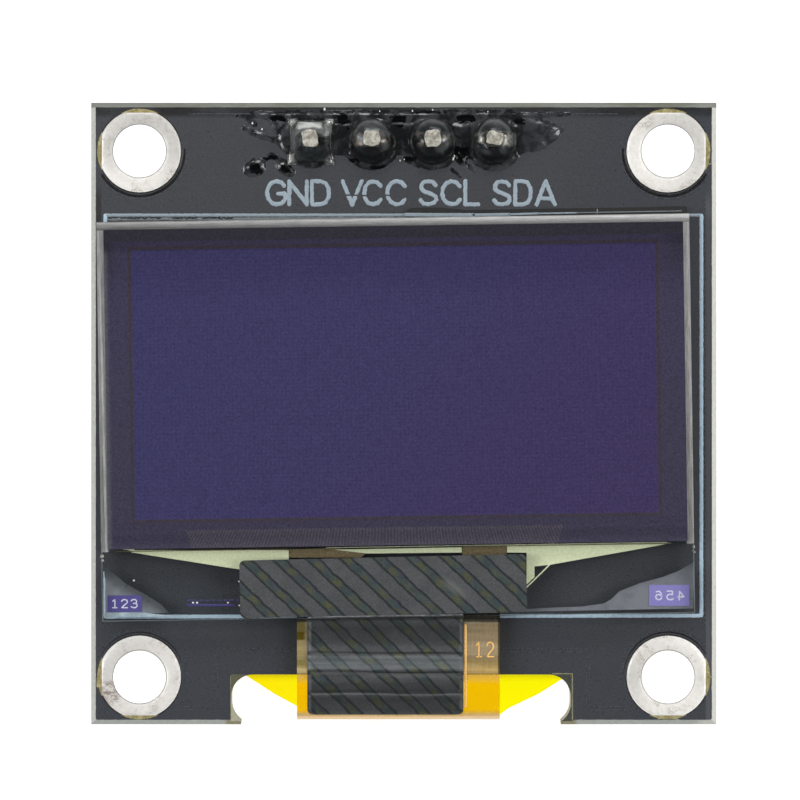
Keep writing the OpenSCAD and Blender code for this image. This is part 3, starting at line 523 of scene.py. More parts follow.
def film_material(name, layer):
    """Amber film: light passes through tinted, and the film's own surface adds to it."""
    m = bpy.data.materials.new(name)
    m.use_nodes = True
    nt = m.node_tree
    b = nt.nodes["Principled BSDF"]
    out = nt.nodes["Material Output"]
    c = mm_coords(nt)
    x, y, z = sep(nt, c)
    front = step(nt, z, 0.2, 0.6)
    g = noise(nt, c, 14.0, 3, 0.6)
    w = noise(nt, stretch(nt, c, (0.35, 4.0, 3.0)), 1.7, 4, 0.55)
    f = noise(nt, stretch(nt, c, (8, 0.6, 1)), 1.8, 4, 0.6)
    lines = step(nt, mt(nt, "SINE", mt(nt, "MULTIPLY", x, 2 * math.pi / 0.155)), 0.1, 0.7)
    yy = mt(nt, "ADD", y, mt(nt, "MULTIPLY", mt(nt, "SUBTRACT", noise(nt, stretch(nt, c, (0.6, 1, 1)), 1.3, 2), 0.5), 0.10))
    # painted light: bands of sheen across the creases of the flex, and a painted shadow where it runs in under the
    # first tape
    painted_sheen_and_shadow = ramp(nt, yy, [(-12.767, 1.0), (-12.518, 1.0), (-12.352, 0.85), (-12.104, 0.62), (-11.191, 0.58), (-11.026, 0.80), (-10.86, 0.95), (-10.694, 0.8), (-10.611, 1.05), (-10.487, 0.78), (-10.279, 0.62), (-10.072, 0.56), (-9.906, 0.74), (-9.699, 0.74), (-9.492, 0.66), (-9.367, 0.54), (-9.201, 0.58), (-9.036, 0.47), (-8.87, 0.56), (-8.725, 0.6), (-8.66, 0.5), (-8.62, 0.12), (-8.5, 0.03), (-7.709, 0.03)])
    share = ramp(nt, y, [(-12.767, 0.85), (-12.56, 0.8), (-12.394, 0.42), (-12.228, 0.12), (-11.191, 0.06), (-11.026, 0.18), (-10.901, 0.26), (-10.793, 0.16), (-10.735, 0.5), (-8.70, 0.5), (-8.62, 0.9), (-7.709, 0.9)])
    left = step(nt, x, -4.0, -4.2)
    own = mix(nt, step(nt, y, -10.35, -9.95), (0.72, 0.55, 0.235), (0.70, 0.575, 0.40))
    own = mix(nt, left, own, (0.60, 0.53, 0.27))
    own = mix(nt, mt(nt, "MULTIPLY", step(nt, w, 0.42, 0.66), 0.45), own, (0.98, 0.84, 0.52))
    own = mix(nt, mt(nt, "MULTIPLY", step(nt, f, 0.45, 0.7), 0.35), own, (0.42, 0.31, 0.10))
    own = mix(nt, step(nt, y, -12.43, -12.60), own, (0.98, 0.70, 0.42))
    own = mix(nt, inside(nt, y, -12.35, -11.15, 0.12), own, (0.80, 0.50, 0.010))
    # painted shade: the left strip is darker just below the tape and in a crease band lower down, and a thin painted
    # shadow line runs down the flex's right edge
    own = mix(nt, mul(nt, left, step(nt, y, -9.06, -8.98)), own, (0.36, 0.31, 0.12))
    own = mix(nt, mul(nt, left, inside(nt, y, -9.36, -9.02, 0.03)), own, (0.20, 0.150, 0.008))
    own = mix(nt, mul(nt, left, inside(nt, y, -10.42, -10.20, 0.04), 0.6), own, (0.36, 0.33, 0.06))
    own = mix(nt, mul(nt, step(nt, x, 3.88, 3.93), step(nt, y, -10.9, -10.7), 0.85), own, (0.06, 0.045, 0.02))
    bright = vm(nt, "SCALE", own)
    nt.links.new(painted_sheen_and_shadow, bright.node.inputs["Scale"])
    rear = mix(nt, mt(nt, "MULTIPLY", lines, 0.55), (0.62, 0.40, 0.07), (0.40, 0.235, 0.035))
    put(nt, b.inputs["Base Color"], mix(nt, front, rear, bright))
    b.inputs["IOR"].default_value = 1.6
    put(nt, b.inputs["Roughness"], step(nt, g, 0.3, 0.7, 0.24, 0.38))
    put(nt, b.inputs["Normal"], bump(nt, mt(nt, "ADD", w, mt(nt, "MULTIPLY", lines, 0.25)), 0.3, 0.02))
    clear = node(nt, "ShaderNodeBsdfTransparent")
    put(nt, clear.inputs["Color"], mix(nt, front, mix(nt, step(nt, x, -3.0, -5.5), layer, (0.999, 0.915, 0.060)), (0.985, 0.785, 0.05)))
    # the tail behind the board is solid copper and amber where the board hides it
    behind = mul(nt, step(nt, z, 0.1, -0.02), step(nt, y, -11.3, -10.3))
    back_share = mixf(nt, behind, 0.02, 0.75)
    sh = node(nt, "ShaderNodeMixShader")
    put(nt, sh.inputs[0], mixf(nt, front, back_share, share))
    nt.links.new(clear.outputs[0], sh.inputs[1])
    nt.links.new(b.outputs[0], sh.inputs[2])
    nt.links.new(sh.outputs[0], out.inputs["Surface"])
    return m


def tape_material(name="patterned_tape", turn=0.0, shift=(0.0, 0.0), tone=1.0, crease_shading_stops=None, smudge=None):
    m, nt, b = material(name, IOR=1.45, Coat_Weight=0.05, Coat_Roughness=0.25)
    c = mm_coords(nt)
    wob = noise(nt, c, 1.6, 2, 0.5)
    wob2 = noise(nt, c, 5.0, 2, 0.5)
    x, y, z = sep(nt, vm(nt, "ADD", c, (shift[0], shift[1], 0)))
    u = mt(nt, "ADD", mt(nt, "ADD", x, mt(nt, "MULTIPLY", y, 1.04 + turn)),
           mt(nt, "ADD", mt(nt, "MULTIPLY", mt(nt, "SUBTRACT", wob, 0.5), 0.22), mt(nt, "MULTIPLY", mt(nt, "SUBTRACT", wob2, 0.5), 0.09)))
    per = 1.405
    t = mt(nt, "FRACT", mt(nt, "DIVIDE", mt(nt, "ADD", u, 70.25), per))
    v = mt(nt, "SUBTRACT", mt(nt, "MULTIPLY", x, 0.7), mt(nt, "MULTIPLY", y, 0.7))
    row = mt(nt, "FLOOR", mt(nt, "DIVIDE", mt(nt, "ADD", u, 70.25), per))
    fine = noise(nt, c, 24.0, 3, 0.7)
    cloud = noise(nt, c, 0.7, 3, 0.6)
    grey = mix(nt, step(nt, cloud, 0.35, 0.68), (0.074, 0.080, 0.084), (0.098, 0.102, 0.108))
    green = mix(nt, step(nt, noise(nt, c, 2.6, 2), 0.35, 0.65), (0.038, 0.058, 0.062), (0.062, 0.082, 0.072))
    s = mt(nt, "FRACT", mt(nt, "ADD", mt(nt, "DIVIDE", v, 1.02), mt(nt, "MULTIPLY", row, 0.37)))
    blot = mul(nt, inside(nt, s, 0.25, 0.65, 0.14), inside(nt, t, 0.68, 0.92, 0.06), step(nt, noise(nt, c, 1.1, 2), 0.30, 0.5, 0.35, 1.0))
    green = mix(nt, mt(nt, "MULTIPLY", blot, 0.75), green, (0.098, 0.098, 0.034))
    narrow = step(nt, t, 0.60, 0.625)
    col = mix(nt, narrow, grey, green)
    l1 = inside(nt, t, 0.560, 0.655, 0.022)
    l2 = mt(nt, "MAXIMUM", step(nt, t, 0.905, 0.950), step(nt, t, 0.045, 0.012))
    blue = mul(nt, inside(nt, t, 0.84, 0.93, 0.03), step(nt, noise(nt, c, 1.9, 2), 0.46, 0.6), 0.6)
    col = mix(nt, blue, col, (0.040, 0.062, 0.110))
    col = mix(nt, mt(nt, "MULTIPLY", mt(nt, "MAXIMUM", l1, l2), 0.88), col, (0.012, 0.014, 0.019))
    col = mix(nt, step(nt, fine, 0.50, 0.78, 0.0, 0.40), col, (0.15, 0.155, 0.16))
    col = speckle(nt, c, col, 1.5)
    if smudge:
        sx_, sy_ = mt(nt, "SUBTRACT", sep(nt, c)[0], smudge[0]), mt(nt, "SUBTRACT", sep(nt, c)[1], smudge[1])
        a_, b_ = mt(nt, "ADD", sx_, mt(nt, "MULTIPLY", sy_, 0.5)), mt(nt, "SUBTRACT", sy_, mt(nt, "MULTIPLY", sx_, -0.5))
        e_ = mt(nt, "SQRT", mt(nt, "ADD", mt(nt, "POWER", mt(nt, "DIVIDE", a_, 0.42), 2.0), mt(nt, "POWER", mt(nt, "DIVIDE", b_, 0.30), 2.0)))
        col = mix(nt, step(nt, e_, 1.25, 0.2, 0.0, 0.55), col, (0.20, 0.205, 0.19))
    # painted light and shade: brighter and darker bands across the tape's creases, with streaked painted highlights on
    # the brightest
    if crease_shading_stops:
        yy = mt(nt, "ADD", y, mt(nt, "MULTIPLY", mt(nt, "SUBTRACT", noise(nt, stretch(nt, c, (0.5, 1, 1)), 1.0, 2), 0.5), 0.05))
        lift = ramp(nt, yy, crease_shading_stops)
        streak = noise(nt, stretch(nt, c, (0.35, 9.0, 1.0)), 1.6, 3, 0.6)
        high = step(nt, lift, 1.15, 1.6)
        lift = mt(nt, "MULTIPLY", lift, mt(nt, "ADD", 1.0, mul(nt, high, mt(nt, "SUBTRACT", streak, 0.5), 0.9)))
        col = mix(nt, mt(nt, "MULTIPLY", high, 0.35), col, (0.11, 0.125, 0.125))
        col = vm(nt, "SCALE", col)
        nt.links.new(lift, col.node.inputs["Scale"])
        streaks = streak
    if tone != 1.0:
        col = vm(nt, "SCALE", col, scale=tone)
    put(nt, b.inputs["Base Color"], col)
    put(nt, b.inputs["Roughness"], step(nt, fine, 0.3, 0.7, 0.36, 0.52))
    cloth = mt(nt, "MULTIPLY", mt(nt, "SINE", mt(nt, "MULTIPLY", x, 48.0)), mt(nt, "SINE", mt(nt, "MULTIPLY", y, 48.0)))
    h = mt(nt, "ADD", mt(nt, "ADD", mt(nt, "MULTIPLY", cloth, 0.15), fine), mt(nt, "MULTIPLY", mt(nt, "MAXIMUM", l1, l2), -1.0))
    put(nt, b.inputs["Normal"], bump(nt, h, 0.35, 0.015))
    return m


def simple_noise_material(name, a, bcol, rough=0.5, scale=6.0, metallic=0.0, bump_mm=0.01, coat=0.0):
    m, nt, b = material(name, Metallic=metallic, Coat_Weight=coat)
    c = mm_coords(nt)
    f = noise(nt, c, scale, 4, 0.65)
    g = noise(nt, c, scale * 5, 3, 0.6)
    put(nt, b.inputs["Base Color"], mix(nt, step(nt, mt(nt, "ADD", mt(nt, "MULTIPLY", f, 0.7), mt(nt, "MULTIPLY", g, 0.3)), 0.38, 0.64), a, bcol))
    put(nt, b.inputs["Roughness"], step(nt, g, 0.3, 0.7, rough - 0.08, rough + 0.08))
    put(nt, b.inputs["Normal"], bump(nt, mt(nt, "ADD", f, mt(nt, "MULTIPLY", g, 0.4)), 0.3, bump_mm))
    return m


MASK_EDGE = mask_material("black_mask_and_laminate", edges=True)
RELIEF = mask_material("mask_over_copper", tone=1.25, rough=0.24)
# painted shade: a near-black for the clearance gaps round the pads, the shadow squiggles under the frame line and the
# shadow under the tape lip
SHADE_DARK = simple_noise_material("painted_shade_dark", (0.004, 0.004, 0.005), (0.012, 0.012, 0.013), 0.30, 5.0)
LAMINATE = simple_noise_material("bare_laminate", (0.20, 0.165, 0.05), (0.42, 0.37, 0.19), 0.6, 7.0)
LAMINATE_DARK = simple_noise_material("bare_laminate_dark", (0.060, 0.058, 0.034), (0.115, 0.110, 0.060), 0.6, 7.0)
LAMINATE_MID = simple_noise_material("bare_laminate_mid", (0.13, 0.125, 0.065), (0.25, 0.245, 0.150), 0.6, 9.0)
# round the slot: pale at the left end's lower corner, under thin mask at the right end
SLOT_TONES, nt, b = material("slot_corner_laminate", Roughness=0.6)
c = mm_coords(nt)
x, y, z = sep(nt, c)
n_ = noise(nt, c, 6.0, 4, 0.65)
lefty = mix(nt, step(nt, y, -11.6, -12.0), mix(nt, n_, (0.045, 0.045, 0.028), (0.12, 0.115, 0.06)), mix(nt, n_, (0.20, 0.19, 0.12), (0.50, 0.48, 0.38)))
righty = mix(nt, step(nt, n_, 0.35, 0.65), (0.026, 0.027, 0.024), (0.050, 0.050, 0.036))
put(nt, b.inputs["Base Color"], mix(nt, step(nt, x, -0.5, 0.5), lefty, righty))
put(nt, b.inputs["Normal"], bump(nt, n_, 0.3, 0.01))
TIN = tin_material("tinned_copper", (0.80, 0.775, 0.735), (0.36, 0.30, 0.25), 1.15, barrels=True)
TIN_BACK = tin_material("tinned_pads", scuff=0.6)
SOLDER_1 = solder_material("solder_bright", (0.60, 0.60, 0.59), (0.035, 0.042, 0.044), (0.44, 0.62))
# painted reflections: the flare is painted bright at its corners and along the top, and dark round the pin and below it
nt = SOLDER_1.node_tree
b = nt.nodes["Principled BSDF"]
old = b.inputs["Base Color"].links[0].from_socket
x, y, z = sep(nt, mm_coords(nt))
n_ = mt(nt, "MULTIPLY", mt(nt, "SUBTRACT", noise(nt, mm_coords(nt), 2.4, 3, 0.6), 0.5), 0.35)
ux = mt(nt, "ADD", mt(nt, "SUBTRACT", x, PADS[0].x), n_)
uy = mt(nt, "SUBTRACT", mt(nt, "SUBTRACT", y, PADS[0].y), n_)
corner = mul(nt, step(nt, mt(nt, "MULTIPLY", mt(nt, "ABSOLUTE", ux), mt(nt, "ABSOLUTE", uy)), 0.42, 0.66), step(nt, noise(nt, mm_coords(nt), 4.2, 3, 0.6), 0.36, 0.50, 0.25, 1.0))
band = mul(nt, step(nt, uy, 0.46, 0.60), step(nt, uy, 0.84, 0.74), step(nt, mt(nt, "ABSOLUTE", mt(nt, "ADD", ux, 0.08)), 0.62, 0.45))
side = mul(nt, step(nt, ux, 0.52, 0.66), step(nt, uy, -0.25, -0.05), 0.55)
glint = mul(nt, step(nt, ux, -0.60, -0.72), step(nt, uy, -0.45, -0.60), 0.9)
lit = mt(nt, "MAXIMUM", mt(nt, "MAXIMUM", corner, mt(nt, "MULTIPLY", band, 0.85)), mt(nt, "MAXIMUM", side, glint))
put(nt, b.inputs["Base Color"], mix(nt, lit, mix(nt, 0.90, old, (0.014, 0.018, 0.020)), mix(nt, 0.75, old, (0.46, 0.46, 0.44))))
SOLDER_N = solder_material("solder_under_flux", (0.090, 0.095, 0.097), (0.014, 0.017, 0.019), (0.34, 0.56), rough=(0.26, 0.46))
nt = SOLDER_N.node_tree
b = nt.nodes["Principled BSDF"]
b.inputs["Coat Weight"].default_value = 0.22
old = b.inputs["Base Color"].links[0].from_socket
c = mm_coords(nt)
x, y, z = sep(nt, c)
ux = mt(nt, "SUBTRACT", mt(nt, "MODULO", mt(nt, "ADD", mt(nt, "SUBTRACT", x, PADS[1].x), 1.27 + 2.54), 2.54), 1.27)
uy = mt(nt, "SUBTRACT", y, PADS[1].y)
r_ = mt(nt, "SQRT", mt(nt, "ADD", mt(nt, "MULTIPLY", ux, ux), mt(nt, "MULTIPLY", uy, uy)))
n_ = noise(nt, c, 3.6, 4, 0.7)
# painted reflections: pale patches either side of each pin and a faint pale ring, brownish on the left joints; the
# upper side of each dome is painted darker as shade
sides = mul(nt, inside(nt, mt(nt, "ABSOLUTE", ux), 0.40, 0.80, 0.08), inside(nt, uy, -0.24, 0.34, 0.10), step(nt, n_, 0.42, 0.58))
halo_highlight = mul(nt, inside(nt, r_, 0.86, 0.93, 0.02), step(nt, n_, 0.40, 0.62), 0.5)
painted_shading = mul(nt, step(nt, uy, 0.30, 0.55), 0.45)
col = mix(nt, painted_shading, old, (0.022, 0.025, 0.027))
col = mix(nt, mt(nt, "MAXIMUM", sides, halo_highlight), col, mix(nt, step(nt, x, 0.0, 2.4), (0.120, 0.098, 0.086), (0.185, 0.180, 0.160)))
put(nt, b.inputs["Base Color"], col)
SOLDER_S = solder_material("solder_small", (0.78, 0.78, 0.77), (0.46, 0.46, 0.45), (0.45, 0.70), (0.22, 0.42))
FLUX = flux_material()
INK = ink_material(base=(0.385, 0.505, 0.605))
INK_GHOST = ink_material("white_ink_ghost", (0.155, 0.170, 0.180), (0.07, 0.078, 0.085))
LABEL = ink_material("label_ink", (0.285, 0.345, 0.395), (0.13, 0.16, 0.19))
INK_THIN = ink_material("white_ink_thin", (0.245, 0.295, 0.335), (0.11, 0.135, 0.16))
PLASTIC = plastic_material("header_plastic", (0.012, 0.012, 0.013), 0.46, 22.0, 0.010)
MOULD = plastic_material("moulded_epoxy", (0.016, 0.016, 0.017), 0.58, 30.0, 0.012)
PIN = metal_material("plated_pin", (0.86, 0.80, 0.62), 0.27, (0.50, 0.40, 0.24))
TIP_METAL = simple_noise_material("cut_pin_tip", (0.205, 0.190, 0.155), (0.54, 0.52, 0.455), 0.42, 4.4, 0.05, 0.05)
# the end that stands out of the solder is dulled by it
nt = PIN.node_tree
b = nt.nodes["Principled BSDF"]
z = sep(nt, mm_coords(nt))[2]
end = step(nt, z, TIP - 0.50, TIP - 0.30)
put(nt, b.inputs["Base Color"], mix(nt, end, b.inputs["Base Color"].links[0].from_socket, (0.085, 0.080, 0.070)))
put(nt, b.inputs["Metallic"], mixf(nt, end, 1.0, 0.4))
LEAD = metal_material("tinned_lead", (0.74, 0.74, 0.73), 0.32, (0.45, 0.44, 0.42))
POL = polariser_material()
GLASS = glass_material()
GLASS_FRONT = glass_material("front_glass", margins=True)
SEAL, nt, b = material("resin_seal", Roughness=0.4)
c = panel_coords(nt)
x, y, z = sep(nt, c)
rim = mt(nt, "MINIMUM", mt(nt, "SUBTRACT", 12.25, mt(nt, "ABSOLUTE", mt(nt, "SUBTRACT", x, GLASS_X))), mt(nt, "SUBTRACT", 8.25, mt(nt, "ABSOLUTE", y)))
wave = noise(nt, c, 0.55, 3, 0.55)
put(nt, b.inputs["Base Color"], mix(nt, mt(nt, "MULTIPLY", step(nt, rim, 0.30, 0.10), step(nt, wave, 0.2, 0.8, 0.65, 1.0)), (0.13, 0.13, 0.145), (0.50, 0.505, 0.525)))
put(nt, b.inputs["Normal"], bump(nt, noise(nt, c, 6.0, 3), 0.3, 0.01))
ADHESIVE = simple_noise_material("black_adhesive", (0.0025, 0.0025, 0.003), (0.009, 0.009, 0.010), 0.65, 8.0)
DESICCANT = simple_noise_material("desiccant", (0.62, 0.60, 0.52), (0.76, 0.75, 0.69), 0.85, 12.0)
EMITTER = simple_noise_material("thin_film_stack", (0.020, 0.014, 0.060), (0.050, 0.045, 0.100), 0.12, 3.0, 0.6)
SILICON = simple_noise_material("silicon_die", (0.16, 0.17, 0.20), (0.24, 0.25, 0.29), 0.16, 20.0, 0.8, 0.003)
FILM_GLUE = simple_noise_material("double_sided_film", (0.50, 0.47, 0.36), (0.64, 0.61, 0.50), 0.45, 4.0)
FLEX = film_material("amber_polyimide", (0.999, 0.962, 0.045))
TAPE_1 = tape_material("patterned_tape_ledge", 0.02, (0.0, 0.0), 0.68, smudge=(2.06, -7.17))
TAPE_2 = tape_material("patterned_tape_flex", -0.02, (0.30, 0.0), 0.72, [(-12.767, 0.588), (-12.435, 0.924), (-12.269, 0.521), (-11.855, 0.386), (-11.585, 0.655), (-11.453, 0.269), (-11.378, 0.42), (-11.191, 0.487), (-10.922, 1.092), (-10.802, 0.554), (-10.711, 0.386), (-10.528, 1.78), (-10.404, 1.60), (-10.321, 1.78), (-10.196, 1.52), (-10.072, 1.70), (-9.973, 0.85), (-9.89, 0.45), (-9.807, 1.02), (-9.678, 1.02), (-9.492, 0.63), (-9.284, 0.504), (-8.87, 0.48), (-8.704, 0.72), (-8.58, 1), (-8.455, 1.05), (-8.393, 0.35), (-8.339, 0.5), (-8.289, 1.5), (-8.227, 1.3), (-8.165, 0.9)])
# painted highlight along the lip of the flex tape
LIP_HIGHLIGHT = simple_noise_material("tape_lip_painted_highlight", (0.060, 0.068, 0.070), (0.175, 0.185, 0.190), 0.4, 3.0)
CERAMIC = simple_noise_material("capacitor_ceramic", (0.30, 0.20, 0.115), (0.40, 0.28, 0.165), 0.42, 16.0)
CHIP_TIN = tin_material("chip_end_tin", (0.80, 0.80, 0.79), (0.5, 0.49, 0.47), 0.5)
GLAZE = simple_noise_material("resistor_glaze", (0.010, 0.010, 0.011), (0.022, 0.022, 0.024), 0.22, 18.0, 0.0, 0.01, 0.5)
ALUMINA = simple_noise_material("resistor_ceramic", (0.66, 0.66, 0.64), (0.80, 0.80, 0.78), 0.6, 20.0)
CREAM = simple_noise_material("ledge_metal", (0.69, 0.73, 0.475), (0.81, 0.85, 0.585), 0.42, 14.0)
BROWN = simple_noise_material("ledge_leads", (0.13, 0.095, 0.045), (0.24, 0.185, 0.10), 0.4, 10.0)
VIOLET = simple_noise_material("ledge_mark", (0.215, 0.190, 0.47), (0.290, 0.260, 0.58), 0.35, 20.0)
VIOLET_SOFT = simple_noise_material("ledge_mark_soft", (0.080, 0.064, 0.235), (0.112, 0.092, 0.310), 0.35, 20.0)
VIOLET_DARK = simple_noise_material("ledge_mark_dark", (0.040, 0.032, 0.16), (0.07, 0.06, 0.24), 0.35, 20.0)
PALE_MARK = simple_noise_material("ledge_digit", (0.55, 0.55, 0.68), (0.75, 0.75, 0.85), 0.4, 20.0)
RESIN = simple_noise_material("ledge_resin", (0.175, 0.190, 0.215), (0.235, 0.255, 0.280), 0.35, 0.7)
RESIN_R = simple_noise_material("ledge_resin_right", (0.150, 0.158, 0.180), (0.195, 0.205, 0.230), 0.35, 0.7)


def thin_out(mat, keep, slope, x0, y0, wide, thin):
    """Fades a resin to a darker, thinner tone within a way of a sloping rim."""
    nt = mat.node_tree
    b = nt.nodes["Principled BSDF"]
    x, y, z = sep(nt, mm_coords(nt))
    d = mt(nt, "SUBTRACT", mt(nt, "ADD", y0, mt(nt, "MULTIPLY", mt(nt, "SUBTRACT", x, x0), slope)), y)
    d = mt(nt, "ADD", d, mt(nt, "MULTIPLY", mt(nt, "SUBTRACT", noise(nt, mm_coords(nt), 1.6, 3, 0.6), 0.5), 0.5))
    put(nt, b.inputs["Base Color"], mix(nt, step(nt, d, keep, wide), thin, b.inputs["Base Color"].links[0].from_socket))


thin_out(RESIN, 0.10, -0.66, -12.37, -6.35, 0.90, (0.070, 0.076, 0.086))
thin_out(RESIN_R, 0.0, 0.27, 12.03, -6.13, 0.55, (0.108, 0.113, 0.128))
CORNER_LIGHT = simple_noise_material("ledge_corner_light", (0.30, 0.37, 0.42), (0.46, 0.54, 0.60), 0.35, 2.2)
GLINT = simple_noise_material("seal_glint", (0.42, 0.44, 0.36), (0.78, 0.80, 0.66), 0.35, 9.0)
ORANGE = simple_noise_material("flex_copper_line", (0.78, 0.40, 0.09), (0.92, 0.55, 0.18), 0.4, 12.0)
GOLD_PAD = metal_material("via_tin", (0.62, 0.60, 0.55), 0.35, (0.3, 0.28, 0.2))

# ------------------------------------------------------------------ mesh helpers, in millimetres


def piece(name, verts, faces, mat, smooth=True, angle=40):
    me = bpy.data.meshes.new(name)
    me.from_pydata([Vector(v) * MM for v in verts], [], faces)
    me.validate()
    bm = bmesh.new()
    bm.from_mesh(me)
    bmesh.ops.remove_doubles(bm, verts=bm.verts, dist=1e-9)
    bmesh.ops.recalc_face_normals(bm, faces=bm.faces)
    bm.to_mesh(me)
    bm.free()
    for m in mat if isinstance(mat, (list, tuple)) else [mat]:
        me.materials.append(m)
    o = bpy.data.objects.new(name, me)
    bpy.context.scene.collection.objects.link(o)
    if smooth:
        for p in me.polygons:
            p.use_smooth = True
        me.set_sharp_from_angle(angle=math.radians(angle))
    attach(o, "root")
    return o


def wobble(x, y, z, s, a):
    return a * mnoise.noise(Vector((x * s, y * s, z * s)))


def resample(pts, gap):
    out = [Vector(pts[0])]
    for a, b in zip(pts, pts[1:]):
        a, b = Vector(a), Vector(b)
        n = max(1, int((b - a).length / gap))
        out += [a.lerp(b, k / n) for k in range(1, n + 1)]
    return out


class Strokes:
    """Ribbons with a low rounded section, gathered into one mesh."""

    def __init__(self):
        self.v, self.f = [], []

    def line(self, pts, w, z, h, rough=0.0, gap=0.12, caps=True, closed=False, down=False):
        pts = [Vector((p[0], p[1])) for p in pts]
        if closed:
            pts = pts + [pts[0]]
        p = resample(pts, gap)
        if closed:
            p = p[:-1]
        n = len(p)
        sgn = -1 if down else 1
        rows = []
        for i, q in enumerate(p):
            if closed:
                t = (p[(i + 1) % n] - p[i - 1])
            else:
                t = p[min(i + 1, n - 1)] - p[max(i - 1, 0)]
            t = t.normalized() if t.length > 1e-9 else Vector((1, 0))
            s = Vector((-t.y, t.x))
            wl = w / 2 * (1 + wobble(q.x, q.y, 1.7, 7.0, rough) + wobble(q.x, q.y, 9.1, 23.0, rough * 0.7))
            wr = w / 2 * (1 + wobble(q.x, q.y, 5.3, 7.0, rough) + wobble(q.x, q.y, 3.9, 23.0, rough * 0.7))
            rows.append([(q + s * wl, 0), (q + s * wl * 0.72, h), (q - s * wr * 0.72, h), (q - s * wr, 0)])
        base = len(self.v)
        for r in rows:
            for q, dz in r:
                self.v.append((q.x, q.y, z + sgn * dz))
        m = len(rows)
        for i in range(m if closed else m - 1):
            a, b = base + 4 * i, base + 4 * ((i + 1) % m)
            for k in range(3):
                self.f.append((a + k, b + k, b + k + 1, a + k + 1))
        if not closed and caps:
            for i, d in ((0, -1), (m - 1, 1)):
                q = p[i]
                t = (p[min(i + 1, m - 1)] - p[max(i - 1, 0)]).normalized() * d
                s = Vector((-t.y, t.x))
                b0 = len(self.v)
                for lv, (fac, dz) in enumerate(((1.0, 0.0), (0.72, h))):
                    for k in range(7):
                        a = math.pi * k / 6
                        r = w / 2 * fac * (1 + wobble(q.x + k, q.y, lv, 3.0, rough))
                        e = q + s * math.cos(a) * r + t * math.sin(a) * r
                        self.v.append((e.x, e.y, z + sgn * dz))
                for k in range(6):
                    self.f.append((b0 + k, b0 + k + 1, b0 + 8 + k, b0 + 7 + k))
                self.f.append(tuple(b0 + 7 + k for k in range(7)))
        return self

    def done(self, name, mat):
        return piece(name, self.v, self.f, mat, smooth=True, angle=60)


def arc(cx, cy, r, a0, a1, n=24):
    return [(cx + r * math.cos(math.radians(a0 + (a1 - a0) * k / n)), cy + r * math.sin(math.radians(a0 + (a1 - a0) * k / n))) for k in range(n + 1)]


def slab(name, outline, z0, z1, mat, bevel=0.0):
    """A flat plate from an outline, with an optional small rounded rim."""
    bm = bmesh.new()
    vs = [bm.verts.new((x * MM, y * MM, z0 * MM)) for x, y in outline]
    f = bm.faces.new(vs)
    ext = bmesh.ops.extrude_face_region(bm, geom=[f])
    up = [g for g in ext["geom"] if isinstance(g, bmesh.types.BMVert)]
    bmesh.ops.translate(bm, verts=up, vec=(0, 0, (z1 - z0) * MM))
    bmesh.ops.recalc_face_normals(bm, faces=bm.faces)
    if bevel:
        es = [e for e in bm.edges if all(v in up for v in e.verts)]
        bmesh.ops.bevel(bm, geom=es, offset=bevel * MM, segments=2, affect="EDGES", profile=0.5)
    bmesh.ops.triangulate(bm, faces=[f for f in bm.faces if len(f.verts) > 4])
    me = bpy.data.meshes.new(name)
    bm.to_mesh(me)
    bm.free()
    me.materials.append(mat)
    o = bpy.data.objects.new(name, me)
    bpy.context.scene.collection.objects.link(o)
    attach(o, "root")
    return o


# ------------------------------------------------------------------ CAD nodes that keep their shape
def paint(nodes, mat, bevel=0.0, seg=2, limit=30):
    for n in [nodes] if isinstance(nodes, str) else nodes:
        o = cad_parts[n]
        o.data.materials.clear()
        o.data.materials.append(mat)
        if bevel:
            bv = o.modifiers.new("rim", "BEVEL")
            bv.width = bevel * MM
            bv.segments = seg
            bv.limit_method = "ANGLE"
            bv.angle_limit = math.radians(limit)
            bv.harden_normals = True
        for p in o.data.polygons:
            p.use_smooth = True
        o.data.set_sharp_from_angle(angle=math.radians(35))


paint("pcb", MASK_EDGE)
paint(["mount_pad_tl", "mount_pad_tr", "mount_pad_bl", "mount_pad_br"], TIN)
paint(["pin_pad_1"], SOLDER_1)
paint(["pin_pad_2", "pin_pad_3", "pin_pad_4"], TIN)
paint("header_housing", PLASTIC, 0.09, 3)
paint(["header_pin_1", "header_pin_2", "header_pin_3", "header_pin_4"], PIN, 0.035, 2)
paint("panel_adhesive", ADHESIVE)
paint("cap_glass", GLASS, 0.03, 2)
paint("substrate_glass", GLASS_FRONT, 0.02, 2)
paint("desiccant_sheet", DESICCANT)
paint("edge_seal", SEAL)
paint("emitter_stack", EMITTER)
paint("polarizer", POL, 0.02, 2)
paint("driver_chip", SILICON, 0.01, 1)
paint("ledge_tape", TAPE_1, 0.025, 2)
paint("flex_cable", FLEX)
paint("flex_adhesive", FILM_GLUE)
paint("smd_pads", TIN_BACK)
paint("regulator_body", MOULD, 0.03, 2)
paint("diode_body", MOULD, 0.03, 2)
paint(["regulator_leads", "diode_leads"], LEAD, 0.015, 2)

# ------------------------------------------------------------------ board front
PATTERN = [((low("mount_pad_" + k) + top("mount_pad_" + k)) / 2).xy for k in ("tl", "tr", "bl", "br")]
HOLES = [Vector((sx * 11.0, sy * 10.95)) for sx, sy in ((-1, 1), (1, 1), (-1, -1), (1, -1))]

